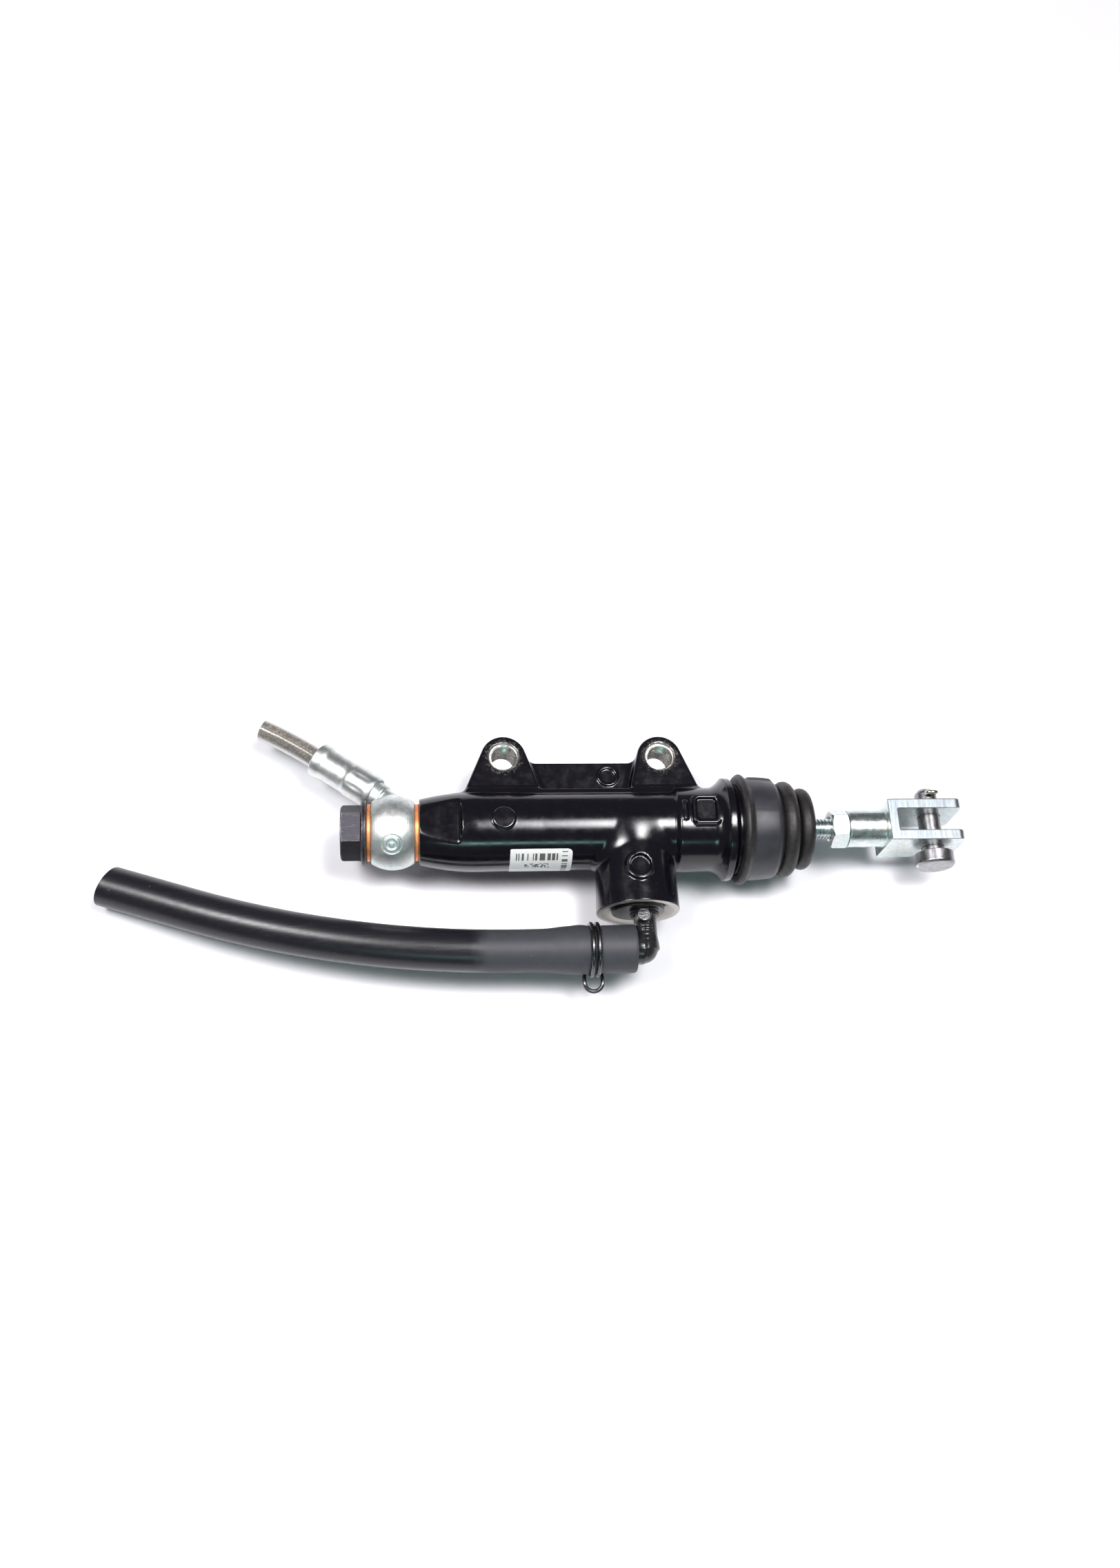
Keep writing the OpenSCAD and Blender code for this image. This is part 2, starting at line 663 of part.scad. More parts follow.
module lock_nut() {
    color("#cfd3d6") difference() {
        intersection() {
            translate([nut_x, 0, 0]) rotate([0, 90, 0]) rotate(nut_turn)
                cylinder(d = nut_af / cos(30), h = nut_t, $fn = 6);
            turn([
                [0, nut_x], [nut_af / 2, nut_x], [nut_af / 2 + 0.9, nut_x + 0.6],
                [nut_af / 2 + 0.9, nut_x + nut_t - 0.6], [nut_af / 2, nut_x + nut_t], [0, nut_x + nut_t]
            ]);
        }
        disc(rod_r, nut_x - over, nut_x + nut_t + over);
    }
}

// Outline of the fork seen from the side, with its rounded end corners
module fork_side() {
    corner = 2.2;
    half = fork_h / 2;
    translate([fork_x, -half]) square([fork_end_x - corner - fork_x, fork_h]);
    translate([fork_x, -half + corner]) square([fork_end_x - fork_x, fork_h - 2 * corner]);
    for (side = [-1, 1]) translate([fork_end_x - corner, side * (half - corner)]) circle(r = corner);
}

module clevis() {
    color("#cfd3d6") difference() {
        union() {
            disc(shank_r, nut_x + nut_t + gap, fork_x + over);
            rotate([90, 0, 0]) linear_extrude(height = fork_w, center = true) fork_side();
        }
        disc(rod_r, nut_x, slot_x + over);
        translate([slot_x, -slot_w / 2, -fork_h]) cube([fork_end_x, slot_w, 2 * fork_h]);
        translate([pin_x, 0, 0]) rod_y(pin_hole_r, -fork_w, fork_w);
    }
}

module clevis_pin() {
    end_chamfer = 1.2;
    color("#9b9ba0") translate([pin_x, 0, 0]) difference() {
        union() {
            rod_y(pin_r, pin_head_y, pin_end_y - end_chamfer);
            translate([0, pin_end_y - end_chamfer, 0]) rotate([-90, 0, 0])
                cylinder(r1 = pin_r, r2 = pin_r - end_chamfer + 0.1, h = end_chamfer);
            rod_y(pin_head_r, pin_head_y - pin_head_t, pin_head_y);
        }
        translate([0, split_y, 0]) cylinder(r = split_hole_r, h = 3 * pin_d, center = true);
    }
}

// Split pin: eye above the pin, closed legs through it, the tips bent apart underneath
module split_pin() {
    shank = split_hole_r - 0.08;
    eye_r = 1.2;
    eye_z = pin_r + 1.4;
    bend_z = -pin_r - 0.7;
    color("#c9c39a") translate([pin_x, split_y, 0]) {
        translate([0, 0, bend_z]) cylinder(r = shank, h = eye_z - bend_z);
        for (side = [-1, 1]) translate([side * 0.35, 0, bend_z + 0.4])
            rotate([0, 180 - side * 35, 0]) cylinder(r = split_wire_r, h = 4);
        translate([0, 0, eye_z + eye_r]) rotate([90, 0, 0]) rotate_extrude()
            translate([eye_r, 0]) circle(r = split_wire_r);
    }
}

// Moves a piece drawn about the bore axis into the part's frame
module placed() {
    translate([0, -ear_height, 0]) children();
}

placed() cylinder_body();
placed() banjo_bolt();
placed() banjo_washers();
placed() banjo_fitting();
placed() crimp_ferrule();
placed() brake_hose_liner();
placed() brake_hose_braid();
placed() brake_hose_jacket();
placed() part_label();
placed() reservoir_elbow();
placed() elbow_o_ring();
placed() elbow_snap_ring();
placed() reservoir_hose();
placed() hose_clamp();
placed() return_spring();
placed() spring_seat();
placed() primary_cup();
placed() cup_shim();
placed() piston();
placed() secondary_cup();
placed() stop_washer();
placed() retaining_circlip();
placed() dust_boot();
placed() pushrod();
placed() lock_nut();
placed() clevis();
placed() clevis_pin();
placed() split_pin();
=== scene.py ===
"""Motorcycle rear brake master cylinder: the visible pieces and their materials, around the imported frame.

Shapes are worked out in millimetres about the cylinder's bore axis (x along the bore, y towards the
mounting ears, z along the mounting bolts) and are moved into the row frame when a mesh is made.
"""

import itertools
import json
from math import asin, atan2, cos, hypot, pi, radians, sin, sqrt, tan

import bmesh
import bpy
import numpy as np
from mathutils import Matrix, Vector


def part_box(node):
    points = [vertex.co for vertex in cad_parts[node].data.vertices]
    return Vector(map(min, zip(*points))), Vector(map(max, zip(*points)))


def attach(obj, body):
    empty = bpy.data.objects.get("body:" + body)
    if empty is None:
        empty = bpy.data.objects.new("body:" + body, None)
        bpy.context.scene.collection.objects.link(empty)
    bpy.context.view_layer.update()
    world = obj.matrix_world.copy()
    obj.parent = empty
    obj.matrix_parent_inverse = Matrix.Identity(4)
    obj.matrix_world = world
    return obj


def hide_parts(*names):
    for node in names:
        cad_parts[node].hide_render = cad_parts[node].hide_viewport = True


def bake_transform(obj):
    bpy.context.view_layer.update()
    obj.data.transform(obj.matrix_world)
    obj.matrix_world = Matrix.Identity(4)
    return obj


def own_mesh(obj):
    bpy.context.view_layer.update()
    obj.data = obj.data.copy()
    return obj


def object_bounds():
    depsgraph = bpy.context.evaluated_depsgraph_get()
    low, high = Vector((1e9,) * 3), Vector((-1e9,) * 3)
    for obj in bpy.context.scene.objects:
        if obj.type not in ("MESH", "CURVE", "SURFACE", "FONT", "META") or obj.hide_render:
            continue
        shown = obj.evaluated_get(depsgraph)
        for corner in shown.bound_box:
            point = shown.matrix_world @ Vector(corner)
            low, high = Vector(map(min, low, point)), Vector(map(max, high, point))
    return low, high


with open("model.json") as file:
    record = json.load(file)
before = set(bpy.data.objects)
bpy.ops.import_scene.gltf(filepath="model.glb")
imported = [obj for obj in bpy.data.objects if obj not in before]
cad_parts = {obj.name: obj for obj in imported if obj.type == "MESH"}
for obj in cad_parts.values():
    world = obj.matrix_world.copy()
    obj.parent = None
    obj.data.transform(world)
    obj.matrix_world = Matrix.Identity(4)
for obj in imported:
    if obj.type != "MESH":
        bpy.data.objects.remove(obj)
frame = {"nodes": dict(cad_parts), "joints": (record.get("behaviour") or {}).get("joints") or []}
CAD_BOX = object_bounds()

MM = 0.001
JOINTS = {joint["name"]: joint for joint in frame["joints"]}
SEAT = [1000 * v for v in JOINTS["pushrod_swivel"]["pos_m"]]
AXIS_Y = SEAT[1]                       # height of the bore axis in the row frame
SEAT_X = SEAT[0]                       # ball of the push rod
PIN_X = 1000 * JOINTS["clevis_pin_turn"]["pos_m"][0]
PORT_X = 1000 * JOINTS["elbow_swivel"]["pos_m"][0]


def span(node):
    """Lowest and highest corner of a CAD node, in mm about the bore axis."""
    lo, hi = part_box(node)
    shift = np.array([0, AXIS_Y, 0])
    return np.array(lo) / MM - shift, np.array(hi) / MM - shift


BODY_LO, BODY_HI = span("cylinder_body")
OUTLET_X = BODY_LO[0]
MOUTH_X = BODY_HI[0]
PORT_FACE_Y = BODY_LO[1]
EAR_X = 22.5
EAR_Y = -AXIS_Y
EAR_R = 6.5
EAR_HALF_THICK = 5.3
EAR_HOLE_R = 3.4
EAR_CHAMFER = 1.0
THREAD_MAJOR_R = 4.0
BARREL_R = 11.1
THICK_R = 12.1
THICK_X = 24.8
FLANGE_X = 41.0
FLANGE_R = 14.8
SPIGOT_R = 12.9
SHOULDER_X = -30.6
SHOULDER_R = 11.35
OUTLET_R = 9.35
FLAT_Z = 9.0
FLAT_END_X = -35.0
PORT_R = 11.7
PORT_BORE_R = 7.45
PORT_MOUTH_R = 10.0
PORT_FLOOR_Y = -15.0
BORE_R = 6.5
COUNTERBORE_R = 8.6
COUNTERBORE_X = 46.0
WEB_TOP_Y = 20.2

BALL_R = 10.55
WASHER_T = 1.2
BALL_HALF_W = 6.1
BALL_X = OUTLET_X - WASHER_T - BALL_HALF_W
FITTING_TILT = radians(-12)
FERRULE_ANGLE = radians(37)
NECK_R = 3.2
NECK_RISE = 9.2
FERRULE_START = 6.4
FERRULE_LEN = 20.4
LINE_START = 12.0                      # along the ferrule axis, where the hose layers begin
LINE_STRAIGHT = 15.8
LINE_BEND_R = 130.0
LINE_BEND = radians(8)
LABEL_TOP = radians(135.7)
LABEL_WRAP = radians(62)

ARM_Y = -34.8
ARM_R = 4.15
ARM_END_X = -4.0
HOSE_R = 5.9
HOSE_BORE_R = 3.7
HOSE_START_X = 12.6
HOSE_BEND_X = -20.0
HOSE_BEND_R = 245.0
HOSE_BEND = radians(21.5)
HOSE_TILT = radians(-24.8)
HOSE_TAIL = 24.7
CLAMP_X = 1.05
CLAMP_RING_R = 7.08
CLAMP_WIRE_R = 0.6

ROD_R = 3.0
NUT_X = 71.5
NUT_T = 5.0
CLEVIS_LO, CLEVIS_HI = span("clevis")
FORK_X = 87.3
FORK_END_X = CLEVIS_HI[0]
FORK_HALF_Y = CLEVIS_HI[1]
FORK_HALF_Z = CLEVIS_HI[2]
SLOT_HALF = 3.3
SLOT_X = 90.0
PIN_R = 3.2
SPLIT_Y = 9.6

FAR = 99.0                             # distance that puts a feature out of reach
LAMP_GAIN = 4.0                        # makes up for the light that the fading edges take away


# ---------- mesh helpers ----------


def make_object(name, points, faces, body, node, material, sharp=35.0):
    """A piece from points in mm about the bore axis, riding on a body and standing for a CAD node."""
    mesh = bpy.data.meshes.new(name)
    placed = (np.asarray(points, float) + [0, AXIS_Y, 0]) * MM
    mesh.from_pydata(placed.tolist(), [], [list(map(int, f)) for f in faces])
    mesh.validate()
    mesh.polygons.foreach_set("use_smooth", [True] * len(mesh.polygons))
    if sharp:
        mesh.set_sharp_from_angle(angle=radians(sharp))
    mesh.materials.append(material)
    piece = bpy.data.objects.new(name, mesh)
    bpy.context.scene.collection.objects.link(piece)
    if body:
        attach(piece, body)
    if node:
        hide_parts(node)
    return piece


def fillet_min(a, b, radius):
    """Union of two distance fields with a fillet between them."""
    u = np.maximum(radius - a, 0)
    v = np.maximum(radius - b, 0)
    return np.maximum(radius, np.minimum(a, b)) - np.hypot(u, v)


def fillet_max(a, b, radius):
    """Intersection of two distance fields with a rounded edge between them."""
    return -fillet_min(-a, -b, radius)


def slab(v, lo, hi):
    """Distance field of the space between two planes."""
    return np.abs(v - (lo + hi) / 2) - (hi - lo) / 2


def drum(radial, along, radius, lo, hi, edge=0.0):
    """Cylinder of the given radius between two planes, with rounded rims."""
    side = radial - radius
    ends = slab(along, lo, hi)
    return fillet_max(side, ends, edge) if edge else np.maximum(side, ends)


def hexagon(u, v, across_flats, turn):
    """Distance field of a hexagonal bar, with a corner of the hexagon at the angle `turn`."""
    best = None
    for k in range(6):
        a = turn + radians(30 + 60 * k)
        side = u * cos(a) + v * sin(a) - across_flats / 2
        best = side if best is None else np.maximum(best, side)
    return best


def slope(field, points, reach):
    """Value and gradient of a distance field at scattered points."""
    x, y, z = points.T
    gradient = np.stack([
        field(x + reach, y, z) - field(x - reach, y, z),
        field(x, y + reach, z) - field(x, y - reach, z),
        field(x, y, z + reach) - field(x, y, z - reach),
    ], axis=1) / (2 * reach)
    return field(x, y, z), gradient


def net_vertices(values, inside, cells):
    """One vertex per surface cell: the mean of the places where the surface crosses its edges."""
    total = np.zeros((len(cells), 3))
    count = np.zeros(len(cells))
    for axis in range(3):
        step = np.eye(3, dtype=int)[axis]
        u, v = [np.eye(3, dtype=int)[k] for k in range(3) if k != axis]
        for corner in (0 * u, u, v, u + v):
            near = tuple((cells + corner).T)
            far = tuple((cells + corner + step).T)
            crosses = inside[near] != inside[far]
            a, b = values[near][crosses], values[far][crosses]
            total[crosses] += corner + (a / (a - b))[:, None] * step
            count[crosses] += 1
    return cells + total / count[:, None]


def net_faces(inside, index):
    """One quad for each grid edge that crosses the surface, facing outwards."""
    faces = []
    for axis in range(3):
        others = [k for k in range(3) if k != axis]
        u, v = others[::-1] if axis == 1 else others
        along = np.moveaxis(inside, axis, 0)
        edges = np.argwhere(along[:-1] != along[1:])
        grid = np.empty_like(edges)
        grid[:, [axis] + others] = edges
        ring = []
        for du, dv in ((0, 0), (1, 0), (1, 1), (0, 1)):
            cell = grid.copy()
            cell[:, u] -= du
            cell[:, v] -= dv
            ring.append(index[tuple(cell.T)])
        quads = np.stack(ring, axis=1)
        leaves = ~inside[tuple(grid.T)]
        quads[leaves] = quads[leaves][:, ::-1]
        faces.append(quads)
    return np.concatenate(faces)


def solid(name, field, node, step, body, material):
    """A piece from a distance field: a net of quads laid on its surface, with the field's own normals."""
    lo, hi = span(node)
    lo = lo - 2.5 * step
    count = np.ceil((hi + 2.5 * step - lo) / step).astype(int) + 1
    axes = [lo[k] + step * np.arange(count[k]) for k in range(3)]
    values = field(*np.meshgrid(*axes, indexing="ij"))
    inside = values < 0
    corners = [inside[i:i - 1 or None, j:j - 1 or None, k:k - 1 or None]
               for i in (0, 1) for j in (0, 1) for k in (0, 1)]
    within = sum(c.astype(np.int8) for c in corners)
    active = (within > 0) & (within < 8)
    index = np.full(active.shape, -1)
    index[active] = np.arange(active.sum())
    points = net_vertices(values, inside, np.argwhere(active)) * step + lo
    for _ in range(4):
        distance, gradient = slope(field, points, 0.02 * step)
        length = np.maximum((gradient ** 2).sum(1), 0.25)
        move = -gradient * (distance / length)[:, None]
        points += np.clip(move, -0.4 * step, 0.4 * step)
    piece = make_object(name, points, net_faces(inside, index), body, node, material, sharp=0)
    normals = slope(field, points, 0.25 * step)[1]
    normals /= np.maximum(np.linalg.norm(normals, axis=1), 1e-9)[:, None]
    piece.data.normals_split_custom_set_from_vertices(normals.tolist())


def rounded(outline):
    """A closed outline of (a, b, corner radius) points with its corners rounded, by five points each."""
    result = []
    count = len(outline)
    for i, (a, b, radius) in enumerate(outline):
        here = np.array([a, b], float)
        if not radius:
            result.append(here)
            continue
        before = np.array(outline[i - 1][:2], float) - here
        after = np.array(outline[(i + 1) % count][:2], float) - here
        reach = min(radius, 0.49 * np.linalg.norm(before), 0.49 * np.linalg.norm(after))
        start = here + before / np.linalg.norm(before) * reach
        end = here + after / np.linalg.norm(after) * reach
        for t in np.linspace(0, 1, 5):
            result.append((1 - t) ** 2 * start + 2 * t * (1 - t) * here + t * t * end)
    return np.array(result)


def bulge(x, crown, radius):
    """Points (x, r, corner radius) of a round fold of a bellows with the given crown."""
    turn = np.radians(np.linspace(-80, 80, 9))
    return [(x + radius * sin(a), crown - radius + radius * cos(a), 0) for a in turn]


def grid_faces(rows, columns, wrap_rows, wrap_columns):
    """Quads of a grid of points, closed round in either direction."""
    faces = []
    for i in range(rows if wrap_rows else rows - 1):
        for k in range(columns if wrap_columns else columns - 1):
            i2, k2 = (i + 1) % rows, (k + 1) % columns
            faces.append((i * columns + k, i2 * columns + k, i2 * columns + k2, i * columns + k2))
    return faces


def tidy_mesh(piece):
    """Merges the points that meet on an axis and turns all faces outwards."""
    work = bmesh.new()
    work.from_mesh(piece.data)
    bmesh.ops.remove_doubles(work, verts=work.verts, dist=1e-7)
    bmesh.ops.dissolve_degenerate(work, edges=work.edges, dist=1e-8)
    bmesh.ops.recalc_face_normals(work, faces=work.faces)
    work.to_mesh(piece.data)
    work.free()
    piece.data.set_sharp_from_angle(angle=radians(35))


def dense(outline, longest, least=1):
    """A closed outline with its stretches cut into pieces about as long as `longest`, `least` or more."""
    points = []
    for p, q in zip(np.asarray(outline), np.roll(outline, -1, axis=0)):
        pieces = max(least, int(np.linalg.norm(q - p) / longest))
        points += [p + (q - p) * t for t in np.linspace(0, 1, pieces + 1)[:-1]]
    return points


def turned(name, outline, body, node, material, sides=96, place=None, relief=None):
    """A turned piece: a closed outline of (x, r) about the bore axis, or about the x axis of `place`.
    relief(x, r, angle) can change the radius."""
    outline = np.asarray(outline, float)[:, :2]
    angle = np.linspace(0, 2 * pi, sides, endpoint=False)
    x = np.repeat(outline[:, 0], sides)
    r = np.repeat(outline[:, 1], sides)
    a = np.tile(angle, len(outline))
    if relief:
        r = relief(x, r, a)
    points = np.stack([x, r * np.cos(a), r * np.sin(a)], axis=1)
    if place is not None:
        points = points @ np.array(place.to_3x3()).T + np.array(place.translation)
    faces = grid_faces(len(outline), sides, True, True)
    piece = make_object(name, points, faces, body, node, material)
    tidy_mesh(piece)
    return piece


def path_frames(path):
    """Tangent and two side directions at each point of a path, without twist."""
    tangent = np.gradient(path, axis=0)
    tangent /= np.linalg.norm(tangent, axis=1)[:, None]
    helper = np.array([0, 0, 1.0]) if abs(tangent[0][2]) < 0.9 else np.array([0, 1.0, 0])
    side = np.cross(helper, tangent[0])
    sides = []
    for t in tangent:
        side = side - t * (side @ t)
        side = side / np.linalg.norm(side)
        sides.append(side)
    sides = np.array(sides)
    return tangent, sides, np.cross(tangent, sides)


def swept(name, path, radius, body, node, material, sides, bore=None, skew=0.0):
    """A tube or a rod along a path. radius and bore are numbers or one value per point; skew cuts the
    far end off at a slant."""
    path = np.asarray(path, float)
    tangent, u, v = path_frames(path)
    angle = np.linspace(0, 2 * pi, sides, endpoint=False)
    ring = np.cos(angle)[None, :, None] * u[:, None] + np.sin(angle)[None, :, None] * v[:, None]
    far = np.clip((np.arange(len(path)) - 0.8 * len(path)) / (0.2 * len(path) - 1), 0, 1)

    def layer(size):
        size = np.broadcast_to(size, len(path))[:, None]
        lean = skew * far[:, None] * size * np.cos(angle)
        return path[:, None] + size[:, :, None] * ring + lean[:, :, None] * tangent[:, None]

    if bore is None:
        ends = np.repeat(path[[0, -1]][:, None], sides, axis=1)
        shell = np.concatenate([ends[:1], layer(radius), ends[1:]])
    else:
        shell = np.concatenate([layer(radius), layer(bore)[::-1]])
    faces = grid_faces(len(shell), sides, bore is not None, True)
    piece = make_object(name, shell.reshape(-1, 3), faces, body, node, material)
    tidy_mesh(piece)
    return piece


# ---------- material helpers ----------


class Nodes:
    """Short calls for the nodes of a material or a lamp."""

    def __init__(self, tree):
        self.tree = tree

    def add(self, kind, **settings):
        node = self.tree.nodes.new("ShaderNode" + kind)
        for name, value in settings.items():
            setattr(node, name, value)
        return node

    def put(self, socket, value):
        if isinstance(value, bpy.types.NodeSocket):
            self.tree.links.new(value, socket)
        elif isinstance(value, tuple) and len(value) == 3 and socket.type == "RGBA":
            socket.default_value = (*value, 1)
        else:
            socket.default_value = value

    def calc(self, operation, *values):
        node = self.add("Math", operation=operation)
        for socket, value in zip(node.inputs, values):
            self.put(socket, value)
        return node.outputs[0]

    def minus(self, a, b):
        return self.calc("SUBTRACT", a, b)

    def times(self, a, b):
        return self.calc("MULTIPLY", a, b)

    def most(self, *values):
        """The largest of two or more values."""
        top = values[0]
        for value in values[1:]:
            top = self.calc("MAXIMUM", top, value)
        return top

    def above(self, value, limit):
        return self.calc("GREATER_THAN", value, limit)

    def below(self, value, limit):
        return self.calc("LESS_THAN", value, limit)

    def parts(self, vector):
        """The three sockets x, y and z of a vector."""
        node = self.add("SeparateXYZ")
        self.put(node.inputs[0], vector)
        return node.outputs

    def ramp(self, value, low, high, out_low=0.0, out_high=1.0):
        """Maps low..high smoothly to out_low..out_high."""
        node = self.add("MapRange", interpolation_type="SMOOTHSTEP")
        for socket, v in zip(node.inputs, (value, low, high, out_low, out_high)):
            self.put(socket, v)
        return node.outputs[0]


class Finish(Nodes):
    """A procedural material. Its coordinates x, y and z are mm about the bore axis."""

    def __init__(self, name):
        self.material = bpy.data.materials.new(name)
        self.material.use_nodes = True
        super().__init__(self.material.node_tree)
        self.shader = self.tree.nodes["Principled BSDF"]
        coordinates = self.add("TexCoord").outputs["Object"]
        self.place = self.mapping(coordinates, (0, -AXIS_Y, 0), (1 / MM,) * 3)
        self.x, self.y, self.z = self.parts(self.place)

    def mapping(self, vector, location, scale):
        node = self.add("Mapping")
        for name, value in (("Vector", vector), ("Location", location), ("Scale", scale)):
            self.put(node.inputs[name], value)
        return node.outputs[0]

    def noise(self, per_mm, detail=3.0, rough=0.55, stretch=(1, 1, 1)):
        """Noise of about 0 to 1 with `per_mm` features a mm, drawn out along the axes by `stretch`."""
        node = self.add("TexNoise")
        place = self.mapping(self.place, (0, 0, 0), tuple(1 / s for s in stretch))
        for name, value in (("Vector", place), ("Scale", per_mm), ("Detail", detail), ("Roughness", rough)):
            self.put(node.inputs[name], value)
        return node.outputs[0]

    def specks(self, per_mm, size, core):
        """1 in the middle of scattered specks and 0 between them; sizes are shares of the spacing."""
        node = self.add("TexVoronoi", feature="F1")
        self.put(node.inputs["Vector"], self.place)
        self.put(node.inputs["Scale"], per_mm)
        return self.ramp(node.outputs["Distance"], size, core)

    def blend(self, factor, a, b):
        node = self.add("Mix", data_type="RGBA")
        for k, value in ((0, factor), (6, a), (7, b)):
            self.put(node.inputs[k], value)
        return node.outputs[2]

    def mix(self, factor, a, b):
        node = self.add("Mix")
        for k, value in ((0, factor), (2, a), (3, b)):
            self.put(node.inputs[k], value)
        return node.outputs[0]

    def away(self, u, cu, v, cv):
        """Distance in mm from the line through (cu, cv) along the third axis."""
        du = self.minus(u, cu)
        dv = self.minus(v, cv)
        return self.calc("SQRT", self.calc("ADD", self.times(du, du), self.times(dv, dv)))

    def edge(self, low, high):
        """1 on outer edges and 0 on flat faces, from the shape of a dense mesh."""
        return self.ramp(self.add("NewGeometry").outputs["Pointiness"], low, high)

    def bump(self, *layers):
        """Stacks bumps given as (height, depth in mm)."""
        normal = None
        for height, depth in layers:
            node = self.add("Bump")
            self.put(node.inputs["Distance"], depth * MM)
            self.put(node.inputs["Height"], height)
            if normal is not None:
                self.put(node.inputs["Normal"], normal)
            normal = node.outputs[0]
        self.put(self.shader.inputs["Normal"], normal)

    def set(self, **values):
        for name, value in values.items():
            self.put(self.shader.inputs[name.replace("_", " ").title().replace("Ior", "IOR")], value)


def black_paint():
    """Glossy black stove paint over an aluminium casting, bare where it was machined afterwards."""
    f = Finish("black_paint")
    hole = f.calc("MINIMUM", f.away(f.x, -EAR_X, f.y, EAR_Y), f.away(f.x, EAR_X, f.y, EAR_Y))
    chamfer_r = EAR_HOLE_R + EAR_CHAMFER
    wear_r = f.ramp(f.noise(0.9, 5, 0.7), 0.35, 0.7, chamfer_r - 0.1, chamfer_r + 1.9)
    worn = f.times(f.below(hole, wear_r), f.ramp(f.noise(3.5, 4, 0.7), 0.48, 0.6))
    out = f.away(f.y, 0.0, f.z, 0.0)
    port_out = f.away(f.x, PORT_X, f.z, 0.0)
    metal = f.most(
        f.below(hole, chamfer_r + 0.02),
        f.below(f.y, PORT_FACE_Y + 0.12),
        f.times(f.below(port_out, PORT_MOUTH_R + 0.2), f.below(f.y, PORT_FLOOR_Y + 2)),
        f.below(f.x, OUTLET_X + 0.08),
        f.below(out, BORE_R + 0.1),
        f.times(f.above(f.x, COUNTERBORE_X - 0.2), f.below(out, COUNTERBORE_R + 0.8)),
        f.times(worn, 0.22),
    )
    dust = f.specks(0.55, 0.055, 0.03)
    paint = f.blend(f.times(f.noise(0.12, 4, 0.6), 0.5), (0.0028, 0.0024, 0.0045), (0.0055, 0.0048, 0.0080))
    paint = f.blend(f.times(dust, 0.25), paint, (0.18, 0.17, 0.17))
    bare = f.blend(f.noise(2.5, 4, 0.6, (1, 1, 4)), (0.34, 0.31, 0.28), (0.60, 0.57, 0.53))
    f.set(base_color=f.blend(metal, paint, bare), metallic=metal)
    gloss = f.ramp(f.noise(0.35, 5, 0.65), 0.3, 0.8, 0.12, 0.24)
    f.set(roughness=f.mix(metal, gloss, 0.36), specular_ior_level=0.55)
    f.bump((f.noise(0.3, 2, 0.5), 0.012), (f.noise(1.6, 3, 0.5), 0.003), (dust, 0.006))
    return f.material


def zinc(name, tint, turned_lines=False, rainbow=0.5, rough=0.16, sawn_z=None):
    """Bright zinc plate with a faint blue, green and yellow bloom; rougher and darker beyond sawn_z."""
    f = Finish(name)
    bloom = f.noise(0.22, 3, 0.6)
    green = f.blend(f.ramp(bloom, 0.35, 0.6), tint, (0.52, 0.66, 0.62))
    warm = f.blend(f.ramp(f.noise(0.16, 3, 0.6, (1.7, 1, 1)), 0.5, 0.7), green, (0.72, 0.69, 0.58))
    violet = f.blend(f.ramp(f.noise(0.3, 2, 0.5, (1, 2, 1)), 0.58, 0.75), warm, (0.56, 0.57, 0.70))
    spots = f.ramp(f.noise(0.9, 5, 0.7), 0.35, 0.62, 0.86, 1.0)
    base = f.blend(rainbow, tint, violet)
    shade = f.blend(1.0, base, spots)
    shade.node.blend_type = "MULTIPLY"
    roughness = f.ramp(f.noise(0.6, 5, 0.7), 0.25, 0.8, rough, rough + 0.14)
    layers = [(f.noise(0.5, 3, 0.5), 0.01)]
    if sawn_z:
        streaks = f.noise(1.6, 4, 0.7, (1, 12, 1))
        sawn = f.above(f.calc("ABSOLUTE", f.z), sawn_z)
        shade = f.blend(f.times(sawn, 0.8), shade,
                        f.blend(f.ramp(streaks, 0.3, 0.7), (0.16, 0.18, 0.21), (0.37, 0.41, 0.44)))
        roughness = f.mix(sawn, roughness, 0.42)
        layers.append((streaks, 0.02))
    f.set(base_color=shade, metallic=1.0, roughness=roughness)
    if turned_lines:
        wave = f.add("TexWave", bands_direction="X")
        for name, value in (("Vector", f.place), ("Scale", 0.5), ("Distortion", 0.6), ("Detail", 2.0)):
            f.put(wave.inputs[name], value)
        layers.append((wave.outputs["Fac"], 0.008))
    f.bump(*layers)
    return f.material


def steel(name, colour, roughness, brushed=(1, 1, 1), dark=0.6):
    """Plain or dark steel, with fine brushing along a stretched axis."""
    f = Finish(name)
    streak = f.noise(3.0, 4, 0.6, brushed)
    stain = f.ramp(f.noise(0.5, 4, 0.6), 0.3, 0.75)
    worn = tuple(min(1.0, 1.5 * c + 0.12) for c in colour)
    low = tuple(dark * c for c in colour)
    base = f.blend(f.ramp(streak, 0.3, 0.7), low, colour)
    base = f.blend(f.times(stain, 0.35), base, low)
    base = f.blend(f.times(f.edge(0.515, 0.56), 0.7), base, worn)
    f.set(base_color=base, metallic=1.0)
    f.set(roughness=f.ramp(stain, 0.0, 1.0, roughness * 0.8, roughness * 1.25))
    f.bump((streak, 0.012), (f.noise(6.0, 3, 0.6), 0.006))
    return f.material


